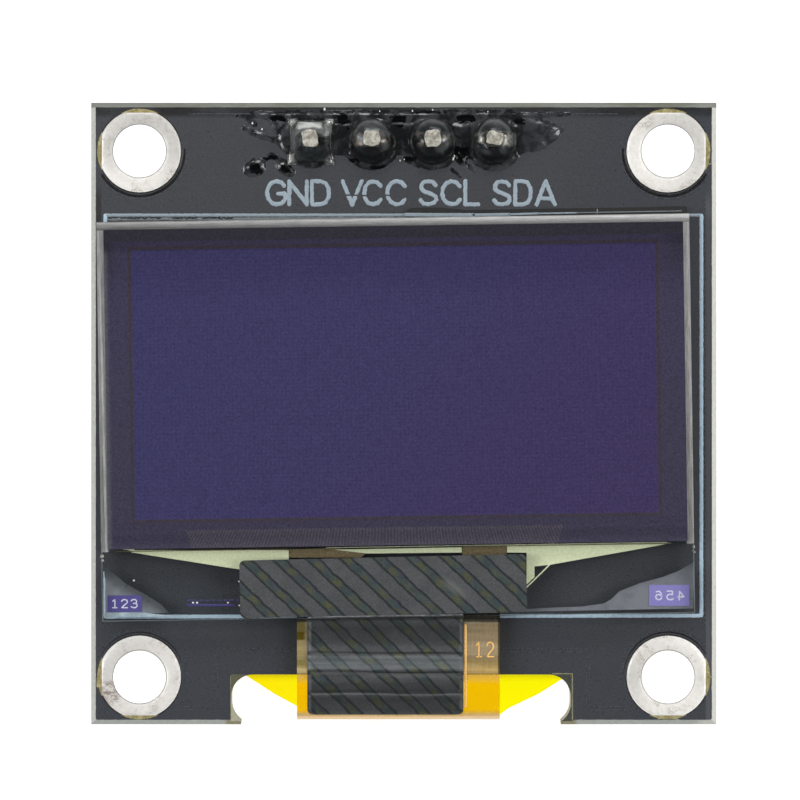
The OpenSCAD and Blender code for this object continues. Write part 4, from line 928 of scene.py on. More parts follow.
# bare laminate that shows beyond the flats of the rings
PCB_LO, PCB_HI = low("pcb"), top("pcb")
FLAT_X, FLAT_Y = top("mount_pad_tr").x, top("mount_pad_tr").y
for k, h in zip(("tl", "tr", "bl", "br"), HOLES):
    v, f = [], []
    for d, flat in ((Vector((math.copysign(1, h.x), 0)), FLAT_X - abs(h.x)), (Vector((0, math.copysign(1, h.y))), FLAT_Y - abs(h.y))):
        t, b0, n = Vector((-d.y, d.x)), len(v), 28
        half = math.acos((flat - 0.01) / 1.765)
        for i in range(n + 1):
            a = -half + 2 * half * i / n
            rr = 1.765 + 0.018 * mnoise.noise(Vector((a * 4, h.x, h.y)))
            o_, i_ = h + d * rr * math.cos(a) + t * rr * math.sin(a), h + d * (flat - 0.03) + t * rr * math.sin(a)
            v += [(i_.x, i_.y, FRONT + 0.007), (o_.x, o_.y, FRONT + 0.007), (o_.x, o_.y, FRONT - 0.004)]
        for i in range(n):
            a = b0 + 3 * i
            f += [(a, a + 1, a + 4, a + 3), (a + 1, a + 2, a + 5, a + 4)]
    piece("bare_ring_" + k, v, f, LAMINATE)

# tinned rings: rounded and slightly uneven, cut flat on the outer sides
for k, h in zip(("tl", "tr", "bl", "br"), HOLES):
    v, f, n = [], [], 128
    prof = [(1.10, FRONT - 0.30, 0), (1.10, FRONT + 0.004, 0), (1.112, FRONT + 0.028, 0), (1.15, FRONT + 0.042, 0.3), (1.26, FRONT + 0.052, 1),
            (1.40, FRONT + 0.056, 1), (1.54, FRONT + 0.054, 1), (1.64, FRONT + 0.046, 0.8), (1.695, FRONT + 0.030, 0.2), (1.715, FRONT + 0.004, 0)]
    for i in range(n):
        a = 2 * math.pi * i / n
        ca, sa = math.cos(a), math.sin(a)
        for r, z, w in prof:
            x, y = h.x + r * ca, h.y + r * sa
            lim_x, lim_y = FLAT_X - 0.35 * (1.715 - r) * (r > 1.3), FLAT_Y - 0.35 * (1.715 - r) * (r > 1.3)
            x = max(-lim_x, min(lim_x, x))
            y = max(-lim_y, min(lim_y, y))
            v.append((x, y, z + w * (wobble(x, y, 0, 1.6, 0.012) + wobble(x, y, 4, 5.0, 0.006))))
    m = len(prof)
    for i in range(n):
        a, b = m * i, m * ((i + 1) % n)
        for j in range(m - 1):
            f.append((a + j, b + j, b + j + 1, a + j + 1))
    piece("ring_face_" + k, v, f, TIN, angle=75)

# copper edges and clearances that show as low relief under the mask
def clipped(pts, lim_x=12.60, lim_y=12.60):
    """Runs of points that stay on the flat of the board."""
    runs, cur = [], []
    for q in pts:
        if abs(q[0]) < lim_x and abs(q[1]) < lim_y:
            cur.append(q)
        else:
            if len(cur) > 2:
                runs.append(cur)
            cur = []
    if len(cur) > 2:
        runs.append(cur)
    return runs


s = Strokes()
zt = FRONT - 0.002
s.line([(-12.53, -8.9), (-12.53, 8.9)], 0.05, zt, 0.014)
s.line([(12.53, -8.9), (12.53, 8.9)], 0.05, zt, 0.014)
s.line([(-8.9, 12.50), (8.9, 12.50)], 0.05, zt, 0.014)
for off in (0.0, 0.14):
    s.line([(-9.45, -12.20 - off), (-7.74 - off, -12.20 - off), (-7.74 - off, -9.91 + off), (-4.6, -9.91 + off)], 0.04, zt, 0.013)
    s.line([(9.30, -12.20 - off), (7.60 + off, -12.20 - off), (7.60 + off, -9.91 + off), (4.1, -9.91 + off)], 0.04, zt, 0.013)
s.line(arc(-2.57, 11.20, 0.20, 0, 360, 24), 0.06, zt, 0.012)
for h, a0, a1 in ((HOLES[0], 165, 372), (HOLES[1], 168, 375), (HOLES[2], -5, 185), (HOLES[3], -5, 185)):
    for run in clipped(arc(h.x, h.y, 1.99, a0, a1, 90)):
        s.line(run, 0.05, zt, 0.016)
s.done("copper_relief", RELIEF)
# the clearance gaps in the copper round the pads, darkened as painted shade, and thin painted shadow lines round the
# rings
s = Strokes()
for h, a0, a1, w in ((HOLES[0], 178, 362, 0.14), (HOLES[1], 178, 366, 0.15), (HOLES[2], 20, 160, 0.05), (HOLES[3], 25, 175, 0.07)):
    for run in clipped(arc(h.x, h.y, 1.865, a0, a1, 90)):
        s.line(run, w, zt, 0.008, 0.15)
for h in HOLES:
    for run in clipped(arc(h.x, h.y, 1.745, 0, 360, 120), 12.56, 12.53):
        s.line(run, 0.05, zt, 0.010, 0.10)
s.done("pad_clearance_shade", SHADE_DARK)
s = Strokes()
s.line([(-12.76, -11.0), (-12.76, -11.35)], 0.07, zt, 0.012, 0.3)
s.line([(12.60, 10.40), (12.78, 10.42)], 0.05, zt, 0.014, 0.3)
s.line([(12.66, -10.95), (12.80, -10.95)], 0.06, zt, 0.014, 0.3)
s.line([(10.6, -12.68), (11.4, -12.69)], 0.05, zt, 0.012, 0.3)
s.done("laminate_slivers", LAMINATE)

# the mask stops in a square-cornered opening, so laminate shows round the slot's rounded ends
SX0, SX1, SY, SR = -7.20, 6.96, -10.85, 0.93
v, f = [], []
for sg, xe in ((-1, SX0), (1, SX1)):
    cx, cy = xe - sg * SR, SY - SR
    outer_x = xe + sg * (0.012 if sg < 0 else 0.07)
    inner = [(cx + sg * SR * math.sin(math.radians(a)), cy + SR * math.cos(math.radians(a))) for a in range(0, 91, 6)]
    inner += [(xe, cy - 0.10), (xe, cy - 0.24)]
    inner += [(cx + sg * SR * math.cos(math.radians(a)), cy - 0.25 - SR * math.sin(math.radians(a))) for a in (8, 16, 24, 32, 40, 48, 55)]
    b0 = len(v)
    for qx, qy in inner:
        # matching point on the square opening
        if qy > cy:
            t = (qx - cx) / (sg * SR)
            ox, oy = cx + sg * SR * min(1.0, t * 1.35) + (outer_x - xe) * min(1.0, t * 1.35), SY + (0.05 if sg > 0 else 0.0) - max(0.0, t - 0.74) * 3.6
            oy = min(oy, SY + (0.05 if sg > 0 else 0.0))
        else:
            ox, oy = outer_x, qy
        wob = 0.012 * mnoise.noise(Vector((qx * 3, qy * 3, 1.0)))
        v += [(qx, qy, FRONT + 0.006), (ox + wob, oy + wob, FRONT + 0.006), (ox + wob, oy + wob, FRONT - 0.004)]
    for i in range(len(inner) - 1):
        a = b0 + 3 * i
        f += [(a, a + 1, a + 4, a + 3), (a + 1, a + 2, a + 5, a + 4)]
piece("slot_laminate", v, f, SLOT_TONES)
s = Strokes()
s.line([(6.20, SY + 0.03), (SX1 + 0.06, SY + 0.03), (SX1 + 0.06, -12.72)], 0.060, FRONT + 0.005, 0.008, 0.25)
s.line([(SX0 - 0.01, SY - 0.05), (SX0 - 0.01, -12.72)], 0.030, FRONT + 0.005, 0.008, 0.25)
s.done("slot_outline", LAMINATE_MID)

# printed line round the display
s = Strokes()
x0, x1, y1 = -12.435, 12.395, 8.285
s.line([(x1, y1 - 0.02), (x1, -8.395), (x0, -8.445), (x0, -7.20)], 0.165, FRONT - 0.003, 0.018, 0.18, 0.06)
s.line([(x0 - 0.01, -7.24), (x0 - 0.035, -6.88)], 0.115, FRONT - 0.003, 0.017, 0.18, 0.06)
s.line([(x0 - 0.035, -6.92), (x0 - 0.06, -6.58)], 0.060, FRONT - 0.003, 0.016, 0.18, 0.06)
s.line([(x0, -5.20), (x0, y1 - 0.02)], 0.165, FRONT - 0.003, 0.018, 0.18, 0.06)
s.done("printed_frame", INK)
s = Strokes()
s.line([(x0, y1), (x1, y1)], 0.135, FRONT - 0.003, 0.017, 0.22, 0.06)
s.done("printed_frame_top", INK_THIN)
s = Strokes()
s.line([(x0 + 0.05, 8.115), (-7.0, 8.125), (0.05, 8.14)], 0.13, FRONT - 0.003, 0.012, 0.5, 0.05)
s.done("printed_frame_ghost", INK_GHOST)
# where the strip of adhesive runs over the line, it shows as a thinning pale edge
ZA = top("panel_adhesive").z + 0.001
s = Strokes()
s.line([(0.10, 8.296), (1.3, 8.285), (2.9, 8.283)], 0.150, ZA, 0.006, 0.10, 0.05)
s.line([(2.9, 8.283), (4.4, 8.310)], 0.120, ZA, 0.006, 0.10, 0.05)
s.line([(4.4, 8.310), (5.6, 8.345)], 0.085, ZA, 0.006, 0.10, 0.05)
s.line([(5.6, 8.345), (7.2, 8.375)], 0.060, ZA, 0.006, 0.12, 0.05)
s.line([(8.05, 8.52), (8.05, 8.36)], 0.040, ZA, 0.006, 0.12, 0.05)
s.done("printed_edge_over_strip", INK_THIN)
s = Strokes()
s.line([(7.2, 8.378), (9.0, 8.405), (11.55, 8.452)], 0.045, ZA, 0.006, 0.15, 0.05)
s.done("printed_edge_faint", INK_GHOST)
# painted shadow: dark squiggles along the top frame line on the left, where the glass's top edge casts its shadow
s = Strokes()
q = Vector((-12.30, 8.17))
k = 0
while q.x < -7.3:
    n_ = mnoise.noise(Vector((q.x * 5.0, 0.7, 0.2)))
    m_ = mnoise.noise(Vector((q.x * 3.1, 4.7, 0.9)))
    L_ = 0.16 + 0.20 * abs(m_)
    if n_ > -0.12:
        s.line([(q.x, 8.165 + 0.05 * m_), (q.x + L_ * 0.5, 8.165 - 0.07 * n_), (q.x + L_, 8.175 + 0.04 * m_)], 0.055, FRONT + 0.004, 0.012, 0.3, 0.04)
    q.x += L_ * (0.8 if k % 3 else 1.25)
    k += 1
s.done("printed_frame_edge_shadow", SHADE_DARK)


def field(name, x0, y0, x1, y1, g, depth, height, z, mat, rim=-0.012, angle=85):
    """A low relief on a fine grid: depth() is the distance inside its outline, height() the rise for that depth."""
    nx, ny = int((x1 - x0) / g), int((y1 - y0) / g)
    dd = [[depth(x0 + i * g, y0 + j * g) for i in range(nx + 1)] for j in range(ny + 1)]
    ids, v, f = {}, [], []
    for j in range(ny):
        for i in range(nx):
            if max(dd[j][i], dd[j][i + 1], dd[j + 1][i], dd[j + 1][i + 1]) <= 0:
                continue
            q = []
            for jj, ii in ((j, i), (j, i + 1), (j + 1, i + 1), (j + 1, i)):
                if (jj, ii) not in ids:
                    x, y, d = x0 + ii * g, y0 + jj * g, dd[jj][ii]
                    ids[(jj, ii)] = len(v)
                    v.append((x, y, z + (height(x, y, d) if d > 0 else max(rim, d * 0.6))))
                q.append(ids[(jj, ii)])
            f.append(tuple(q))
    return piece(name, v, f, mat, angle=angle)


# generic pin-function labels, in plain stroke lettering
GLYPH = {
    "G": [[(.94, .80), (.80, .95), (.52, 1), (.24, .93), (.05, .72), (0, .5), (.05, .28), (.24, .07), (.52, 0), (.82, .05), (1, .22), (1, .46), (.62, .46)]],
    "N": [[(0, 0), (0, 1)], [(0, 1), (1, 0)], [(1, 0), (1, 1)]],
    "D": [[(0, 0), (0, 1), (.48, 1), (.78, .93), (.96, .72), (1, .5), (.96, .28), (.78, .07), (.48, 0), (0, 0)]],
    "V": [[(0, 1), (.5, 0), (1, 1)]],
    "C": [[(1, .78), (.80, .95), (.52, 1), (.24, .93), (.05, .72), (0, .5), (.05, .28), (.24, .07), (.52, 0), (.82, .05), (1, .20)]],
    "S": [[(.96, .82), (.78, .96), (.5, 1), (.22, .96), (.05, .83), (.06, .66), (.26, .55), (.66, .45), (.93, .34), (1, .19), (.84, .05), (.5, 0), (.18, .04), (0, .18)]],
    "L": [[(0, 1), (0, 0), (1, 0)]],
    "A": [[(0, 0), (.5, 1), (1, 0)], [(.13, .26), (.87, .26)]],
    "1": [[(.15, .8), (.5, 1), (.5, 0)], [(.15, 0), (.85, 0)]],
    "2": [[(0, .78), (.15, .95), (.5, 1), (.85, .93), (1, .74), (.9, .55), (.45, .3), (0, 0), (1, 0)]],
    "3": [[(0, .85), (.25, .98), (.6, 1), (.92, .88), (.92, .66), (.65, .54), (.4, .53)], [(.65, .54), (.98, .42), (1, .18), (.75, .03), (.4, 0), (0, .12)]],
    "4": [[(.75, 0), (.75, 1), (0, .33), (1, .33)]],
    "5": [[(.95, 1), (.12, 1), (.06, .58), (.5, .64), (.9, .52), (1, .28), (.8, .06), (.4, 0), (0, .1)]],
    "6": [[(.9, .92), (.5, 1), (.15, .8), (0, .4), (.1, .12), (.5, 0), (.9, .12), (1, .35), (.85, .56), (.5, .62), (.12, .5), (0, .35)]],
}
SEGS = []
for ch, a, b in (("G", -5.78, -4.86), ("N", -4.86, -3.95), ("D", -3.91, -3.03), ("V", -2.64, -1.66), ("C", -1.74, -.87), ("C", -.78, .13),
                 ("S", .61, 1.45), ("C", 1.51, 2.42), ("L", 2.47, 3.19), ("S", 3.67, 4.51), ("D", 4.55, 5.38), ("A", 5.44, 6.38)):
    a, b = a + 0.09, b - 0.09
    for poly in GLYPH[ch]:
        pts = [Vector((a + (b - a) * u, 8.730 + 0.965 * t)) for u, t in poly]
        SEGS += list(zip(pts, pts[1:]))


def label_depth(x, y):
    best = -1.0
    for p, q in SEGS:
        if x < min(p.x, q.x) - 0.2 or x > max(p.x, q.x) + 0.2:
            continue
        dx, dy = q.x - p.x, q.y - p.y
        t = max(0.0, min(1.0, ((x - p.x) * dx + (y - p.y) * dy) / (dx * dx + dy * dy)))
        best = max(best, 0.083 - math.hypot(x - p.x - t * dx, y - p.y - t * dy))
    if best > -0.1:
        best += 0.020 * mnoise.noise(Vector((x * 7.0, y * 7.0, 0.5))) + 0.020 * mnoise.noise(Vector((x * 19.0, y * 19.0, 3.5)))
        if -2.75 < x < 0.25:
            best = min(best, abs(y - 9.105 - 0.012 * math.sin(x * 5)) - 0.030)
    return best


field("pin_labels", -5.95, 8.58, 6.50, 9.85, 0.030, label_depth, lambda x, y, d: 0.018 * min(1.0, d / 0.03), FRONT, LABEL, angle=80)

# ------------------------------------------------------------------ solder on the header
for k in range(4):
    node_name = "solder_joint_%d" % (k + 1)
    zb = FRONT + 0.030
    cx, cy = PADS[k]
    px, py = PINS[k]
    H = top(node_name).z - zb
    v, f = [], []
    if k == 0:
        n, half = 56, 0.955
        for j in range(n + 1):
            for i in range(n + 1):
                ux, uy = (2 * i / n - 1), (2 * j / n - 1)
                # sides pull in a little between the corners
                x = half * ux * (1 - 0.10 * (1 - uy * uy) * abs(ux)) + wobble(ux, uy, 6.0, 2.2, 0.03)
                y = half * uy * (1 - 0.08 * (1 - ux * ux) * abs(uy)) + wobble(ux, uy, 8.0, 2.2, 0.03)
                r = math.hypot(x - (px - cx) * 0.6, y - (py - cy) * 0.6)
                rim = max(abs(ux), abs(uy))
                g = max(0.0, 1 - max(0.0, r - 0.30) / 1.02)
                z = H * (0.10 + 0.90 * g ** 2.0) * min(1.0, ((1 - rim) / 0.10)) ** 0.5 if rim < 1 else 0.0
                z += wobble(x, y, 2.0, 2.6, 0.035) * (1 - rim ** 6)
                v.append((cx + x, cy + y, zb + z))
        for j in range(n):
            for i in range(n):
                a = j * (n + 1) + i
                f.append((a, a + 1, a + n + 2, a + n + 1))
        o = piece("solder_dome_1", v, f, SOLDER_1, angle=80)
    else:
        n, m = 72, 26
        for i in range(n):
            a = 2 * math.pi * i / n
            for j in range(m):
                t = j / (m - 1)
                r = 0.965 * math.cos(t * math.pi / 2) ** 0.80
                z = H * (math.sin(t * math.pi / 2) ** 0.95)
                if t > 0.86:
                    z = H * (0.976 + 0.024 * (t - 0.86) / 0.14)
                x, y = r * math.cos(a), r * math.sin(a)
                wob = 1 + 0.035 * math.sin(2 * a + k * 1.9) * (1 - t) + wobble(math.cos(a), math.sin(a), k * 3.1, 1.7, 0.05)
                off = (math.sin(t * math.pi / 2))
                v.append((cx + x * wob + (px - cx) * off, cy + y * wob + (py - cy) * off, zb + z * (1 + wobble(x, y, k * 7.7, 2.3, 0.07))))
        for i in range(n):
            a, b = m * i, m * ((i + 1) % n)
            for j in range(m - 1):
                f.append((a + j, b + j, b + j + 1, a + j + 1))
        f.append(tuple(m * i + m - 1 for i in range(n)))
        o = piece("solder_dome_%d" % (k + 1), v, f, SOLDER_N, angle=80)
    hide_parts(node_name)

# worn, solder-wetted pin tips
for k, (turn, sx, sy) in enumerate(((12, 1.0, 0.98), (-4, 1.02, 0.92), (7, 1.0, 1.0), (-14, 1.02, 0.80))):
    px, py = PINS[k]
    v, f, n = [], [], 14
    hw, ct, st = 0.335, math.cos(math.radians(turn)), math.sin(math.radians(turn))
    for j in range(n + 1):
        for i in range(n + 1):
            ux, uy = 2 * i / n - 1, 2 * j / n - 1
            rim = max(abs(ux), abs(uy))
            # square with rounded, uneven corners
            m_ = 1 - 0.16 * abs(ux * uy) ** 1.6 * rim
            wx = ux * sx * m_ + 0.16 * rim * mnoise.noise(Vector((ux * 1.3, uy * 1.3, k * 4.0)))
            wy = uy * sy * m_ + 0.16 * rim * mnoise.noise(Vector((ux * 1.3, uy * 1.3, k * 4.0 + 9)))
            z = TIP + 0.022 - 0.20 * max(0.0, rim - 0.80) ** 1.4 + wobble(ux, uy, k * 5.0, 1.9, 0.022) * (1 - rim * 0.5)
            v.append((px + hw * (wx * ct - wy * st), py + 0.03 + 1.06 * hw * (wx * st + wy * ct), max(z, TIP + 0.002)))
    for j in range(n):
        for i in range(n):
            a = j * (n + 1) + i
            f.append((a, a + 1, a + n + 2, a + n + 1))
    piece("pin_tip_%d" % (k + 1), v, f, TIP_METAL, angle=75)

# ------------------------------------------------------------------ flux residue: one glossy height field
CAPS = [(-6.95, 12.46, -6.60, 12.40, .10, .15), (-6.55, 12.36, -6.20, 12.08, .15, .12), (-6.35, 12.48, -5.00, 12.40, .13, .22),
        (-5.55, 12.30, -5.20, 11.78, .16, .15), (-6.62, 11.90, -6.35, 11.74, .11, .13), (-6.40, 11.74, -4.90, 11.24, .11, .18),
        (-6.33, 10.21, -6.12, 10.31, .36, .38), (-5.87, 10.56, -5.53, 10.76, .10, .14), (-5.53, 10.76, -5.06, 10.50, .14, .16),
        (-5.02, 10.33, -4.74, 10.08, .30, .24), (-4.90, 12.42, 4.40, 12.44, .24, .26), (-4.60, 11.50, 4.60, 11.45, .72, .72), (-2.75, 12.30, -2.20, 12.38, .22, .25),
        (-0.28, 12.38, 0.40, 12.48, .18, .18), (2.25, 12.45, 3.0, 12.36, .22, .22), (2.18, 10.95, 2.42, 10.60, .20, .27),
        (4.80, 11.55, 6.10, 11.90, .42, .14), (4.60, 11.15, 5.80, 11.22, .36, .20), (3.9, 12.36, 6.9, 12.50, .20, .09),
        (4.35, 10.72, 4.62, 10.50, .09, .06), (2.72, 10.33, 2.98, 10.06, .09, .07),
        (2.02, 10.18, 2.36, 9.86, .08, .05), (4.05, 10.92, 4.12, 10.86, .09, .09), (-2.45, 10.92, -1.85, 10.42, .14, .10),
        (0.05, 10.66, 0.62, 10.32, .12, .09), (-2.70, 11.05, -2.55, 11.65, .14, .12), (-4.62, 11.9, -4.55, 11.3, .12, .10)]
COLLARS = [(PADS[k].x, PADS[k].y, r) for k, r in ((0, 1.12), (1, 1.20), (2, 1.20), (3, 1.25))]


LEAF = [(4.60, 12.50), (5.70, 12.30), (6.80, 11.95), (6.40, 11.45), (5.65, 10.95), (4.70, 10.85)]


def flux_depth(x, y):
    best = -1.0
    jag = 0.050 * mnoise.noise(Vector((x * 2.6, y * 2.6, 0.3))) + 0.022 * mnoise.noise(Vector((x * 8.3, y * 8.3, 5.0)))
    for ax, ay, bx, by, ra, rb in CAPS:
        dx, dy = bx - ax, by - ay
        L = dx * dx + dy * dy
        t = max(0.0, min(1.0, ((x - ax) * dx + (y - ay) * dy) / L)) if L else 0.0
        best = max(best, (ra + (rb - ra) * t) - math.hypot(x - ax - t * dx, y - ay - t * dy) + jag)
    if x > 4.4:
        d = 9.0
        for (ax, ay), (bx, by) in zip(LEAF, LEAF[1:] + LEAF[:1]):
            L = math.hypot(bx - ax, by - ay)
            d = min(d, ((x - ax) * (ay - by) + (y - ay) * (bx - ax)) / -L)
        best = max(best, d + jag)
    for cx, cy, r in COLLARS:
        best = max(best, min(r - math.hypot(x - cx, y - cy) + jag * 0.8, 0.30))
    return best


def flux_height(x, y, d):
    w = min(1.0, d / 0.16)
    q = min(1.0, d / 0.30)
    near_edge = max(0.0, min(1.0, (12.74 - y) / 0.40))
    return (0.006 + 0.054 * q * q * (3 - 2 * q) * near_edge
            + w * near_edge * (0.034 * mnoise.noise(Vector((x * 2.1, y * 2.1, 2.2))) + 0.010 * mnoise.noise(Vector((x * 5.6, y * 5.6, 8.2)))))


field("flux_residue", -7.25, 9.70, 10.9, 12.74, 0.042, flux_depth, flux_height, FRONT, FLUX)

# tiny bright beads caught in the residue
v, f = [], []
for bx, by, r in ((-3.30, 12.68, .05), (2.05, 10.62, .06), (2.10, 10.72, .05), (-0.15, 10.55, .035), (0.02, 10.60, .03), (-6.3, 12.1, .04), (-5.9, 11.85, .035),
                  (0.36, 12.62, .03), (-1.0, 12.60, .025), (3.5, 12.58, .025), (1.2, 12.66, .03)):
    b0 = len(v)
    for j in range(5):
        t = j / 4 * math.pi / 2
        for i in range(10):
            a = 2 * math.pi * i / 10
            v.append((bx + r * math.cos(t) * math.cos(a), by + r * math.cos(t) * math.sin(a) * 1.6, FRONT + 0.05 + r * 0.9 * math.sin(t)))
    for j in range(4):
        for i in range(10):
            f.append((b0 + j * 10 + i, b0 + j * 10 + (i + 1) % 10, b0 + (j + 1) * 10 + (i + 1) % 10, b0 + (j + 1) * 10 + i))
piece("solder_beads", v, f, SOLDER_S)

# ------------------------------------------------------------------ display ledge, seen through the glass
ZL = SUB_BACK - 0.012


def gx(px):
    return px


slab("ledge_metal_left", [(-11.44, -5.64), (-4.77, -5.64), (-4.77, -6.15), (-5.86, -6.60), (-6.81, -6.44), (-11.27, -5.74)][::-1], ZL, ZL + 0.008, CREAM)
slab("ledge_metal_mid", [(-2.90, -5.62), (2.40, -5.52), (2.40, -5.74), (-1.5, -5.78)][::-1], ZL, ZL + 0.008, CREAM)
slab("ledge_metal_right", [(4.28, -5.44), (8.6, -5.38), (11.08, -5.34), (10.4, -5.48), (6.11, -6.24), (5.42, -6.32), (5.42, -6.76), (5.09, -7.06), (5.09, -5.75), (4.28, -5.74)][::-1],
     ZL, ZL + 0.008, CREAM)
slab("ledge_leads_left", [(-4.75, -5.60), (-2.88, -5.56), (-1.5, -5.72), (-1.8, -5.95), (-4.75, -5.95)][::-1], ZL - 0.003, ZL + 0.006, BROWN)
slab("ledge_leads_right", [(2.42, -5.50), (4.26, -5.46), (4.26, -5.90), (2.42, -5.90)][::-1], ZL - 0.003, ZL + 0.006, BROWN)
s = Strokes()
s.line([(6.05, -6.24), (5.05, -7.22)], 0.055, ZL, 0.008)
s.line([(-3.2, -5.545), (10.9, -5.315)], 0.035, ZL, 0.008)
s.line([(-11.6, -5.60), (-11.2, -5.62)], 0.05, ZL, 0.008)
s.done("ledge_thin_lines", CREAM)
s = Strokes()
s.line([(-11.9, -5.70), (-4.8, -5.600)], 0.035, ZL + 0.008, 0.005)
s.line([(4.3, -5.465), (11.0, -5.365)], 0.035, ZL + 0.008, 0.005)
s.done("ledge_edge_line", BROWN)
slab("ledge_box_left", [(-12.27, -7.52), (-10.86, -7.52), (-10.86, -8.20), (-12.27, -8.20)][::-1], ZL, ZL + 0.006, VIOLET_SOFT)
slab("ledge_box_right", [(10.17, -7.08), (11.84, -7.08), (11.84, -7.95), (10.17, -7.95)][::-1], ZL, ZL + 0.006, VIOLET)
s = Strokes()
for i, ch in enumerate("123"):
    for poly in GLYPH[ch]:
        s.line([(-12.10 + 0.40 * i + 0.24 * u, -8.03 + 0.34 * t) for u, t in poly], 0.05, ZL + 0.006, 0.004, 0.1, 0.05)
for i, ch in enumerate("456"):
    for poly in GLYPH[ch]:
        s.line([(11.62 - 0.46 * i - 0.26 * u, -7.70 + 0.36 * t) for u, t in poly], 0.055, ZL + 0.006, 0.004, 0.1, 0.05)
s.done("ledge_digits", PALE_MARK)
s = Strokes()
for i in range(9):
    s.line([(-8.95 + 0.25 * i, -7.72), (-8.84 + 0.25 * i, -7.72)], 0.05, ZL, 0.006, 0.2, 0.05)
for i in range(8):
    s.line([(-8.95 + 0.25 * i, -7.92), (-8.80 + 0.25 * i, -7.92)], 0.09, ZL, 0.006, 0.2, 0.05)
s.done("ledge_test_marks", VIOLET_DARK)
s = Strokes()
for x, y in ((-8.75, -7.82), (-8.58, -7.82), (-7.30, -7.82), (-6.83, -6.94), (-6.83, -7.93), (-11.2, -6.90)):
    s.line([(x, y), (x + 0.02, y)], 0.07, ZL + 0.006, 0.004)
s.done("ledge_dots", PALE_MARK)
slab("ledge_resin_left", [(-12.37, -6.35), (-11.5, -7.05), (-10.63, -7.53), (-10.05, -7.90), (-9.75, -8.25), (-12.37, -8.29)][::-1], ZL - 0.03, ZL - 0.02, RESIN)
slab("ledge_resin_right", [(12.03, -6.13), (11.4, -6.50), (10.78, -6.74), (9.75, -7.02), (8.93, -7.35), (8.60, -7.68), (8.3, -7.85), (7.4, -7.98), (6.2, -8.02), (5.0, -8.08), (4.75, -8.20), (12.0, -8.06)][::-1],
     ZL - 0.03, ZL - 0.02, RESIN_R)

slab("ledge_corner_light", [(-12.42, -8.22), (-12.30, -8.235), (-11.2, -8.225), (-10.75, -8.235), (-10.25, -8.30), (-9.6, -8.345), (-8.4, -8.36), (-12.42, -8.44)][::-1], ZL - 0.018, ZL - 0.012, CORNER_LIGHT)
v, f = [], []
for bx, by, rx, ry in ((-12.50, -5.90, .075, .07), (-12.49, -6.06, .06, .06), (12.02, -5.50, .05, .07), (12.06, -5.72, .035, .03), (11.98, -5.66, .025, .02)):
    b0 = len(v)
    for j in range(4):
        t = j / 3 * math.pi / 2
        for i in range(10):
            a = 2 * math.pi * i / 10
            v.append((bx + rx * math.cos(t) * math.cos(a), by + ry * math.cos(t) * math.sin(a), ZL + 0.02 * math.sin(t)))
    for j in range(3):
        for i in range(10):
            f.append((b0 + j * 10 + i, b0 + j * 10 + (i + 1) % 10, b0 + (j + 1) * 10 + (i + 1) % 10, b0 + (j + 1) * 10 + i))
piece("seal_end_glints", v, f, GLINT)

# ------------------------------------------------------------------ tape over the flex, with its creases
x0, x1 = low("flex_tape").x, top("flex_tape").x
yb = low("flex_cable").y + 0.5          # where the first bend starts
zf = low("flex_tape").z
zf = top("flex_cable").z                # top of the flex run
nx, ny = 30, 150
creases = [(-9.96, 0.040, 0.05, -1), (-10.10, 0.055, 0.16, 1), (-10.74, 0.045, 0.05, -1), (-10.92, 0.035, 0.10, 1), (-11.58, 0.035, 0.045, -1), (-11.72, 0.018, 0.12, 1)]
rows = []
for j in range(ny + 1):
    t = j / ny
    L0, L1 = 0.55, -8.60 - yb
    arc_len = math.radians(27) * 0.57
    total = L0 + L1 + arc_len
    sdist = t * total
    row = []
    for i in range(nx + 1):
        u = i / nx
        x = x0 + (x1 - x0) * u
        # rounded lower corners
        edge = 0.0
        rem = total - sdist
        if rem < 0.25:
            edge = 0.25 - math.sqrt(max(0.0, 0.25 ** 2 - (0.25 - rem) ** 2))
        x = x0 + edge + (x1 - x0 - 2 * edge) * u
        ye = -8.385 + 0.0148 * (x + 0.43)
        if sdist < L0:
            q = sdist / L0
            y = ye + 0.05 - 0.29 * q
            z = SUB_TOP + 0.06 - (SUB_TOP + 0.06 - zf - 0.07) * (1 - math.cos(min(1, q * 1.25) * math.pi)) / 2
        elif sdist < L0 + L1:
            q = sdist - L0
            y = (ye - 0.24) + (yb - (ye - 0.24)) * (q / L1)
            z = zf + 0.07
        else:
            a = (sdist - L0 - L1) / 0.57
            y = yb - 0.57 * math.sin(a)
            z = zf - 0.5 + 0.57 * math.cos(a)
        if sdist >= L0:
            for cy, hgt, wid, sg in creases:
                yy = y + 0.012 * (x - 1.0) * (0.4 if cy < -11 else 1.0) + 0.02 * math.sin(x * 1.3 + cy)
                z += sg * hgt * math.exp(-((yy - cy) / wid) ** 2)
            z += wobble(x, y, 1.0, 1.1, 0.012)
        row.append((x, y, z))
    rows.append(row)
v = [p for r in rows for p in r]
f = []
for j in range(ny):
    for i in range(nx):
        a = j * (nx + 1) + i
        f.append((a, a + 1, a + nx + 2, a + nx + 1))
o = piece("creased_tape", v, f, TAPE_2, angle=70)
sol = o.modifiers.new("thickness", "SOLIDIFY")
sol.thickness = 0.05 * MM
sol.offset = -1
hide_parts("flex_tape")

# the upper lip of this tape laps on to the first one, drawn as a painted highlight with a painted shadow beneath it
ZT = top("ledge_tape").z + 0.002
s = Strokes()
s.line([(-3.92, -8.405), (-2.9, -8.370), (-0.5, -8.330), (2.42, -8.290)], 0.055, ZT, 0.012, 0.35, 0.06)
s.done("tape_lip", LIP_HIGHLIGHT)
s = Strokes()
s.line([(-4.35, -8.455), (-3.8, -8.475), (-1.2, -8.405), (1.0, -8.385), (2.44, -8.362)], 0.065, ZT - 0.004, 0.010, 0.35, 0.06)
s.done("tape_lip_shadow", SHADE_DARK)

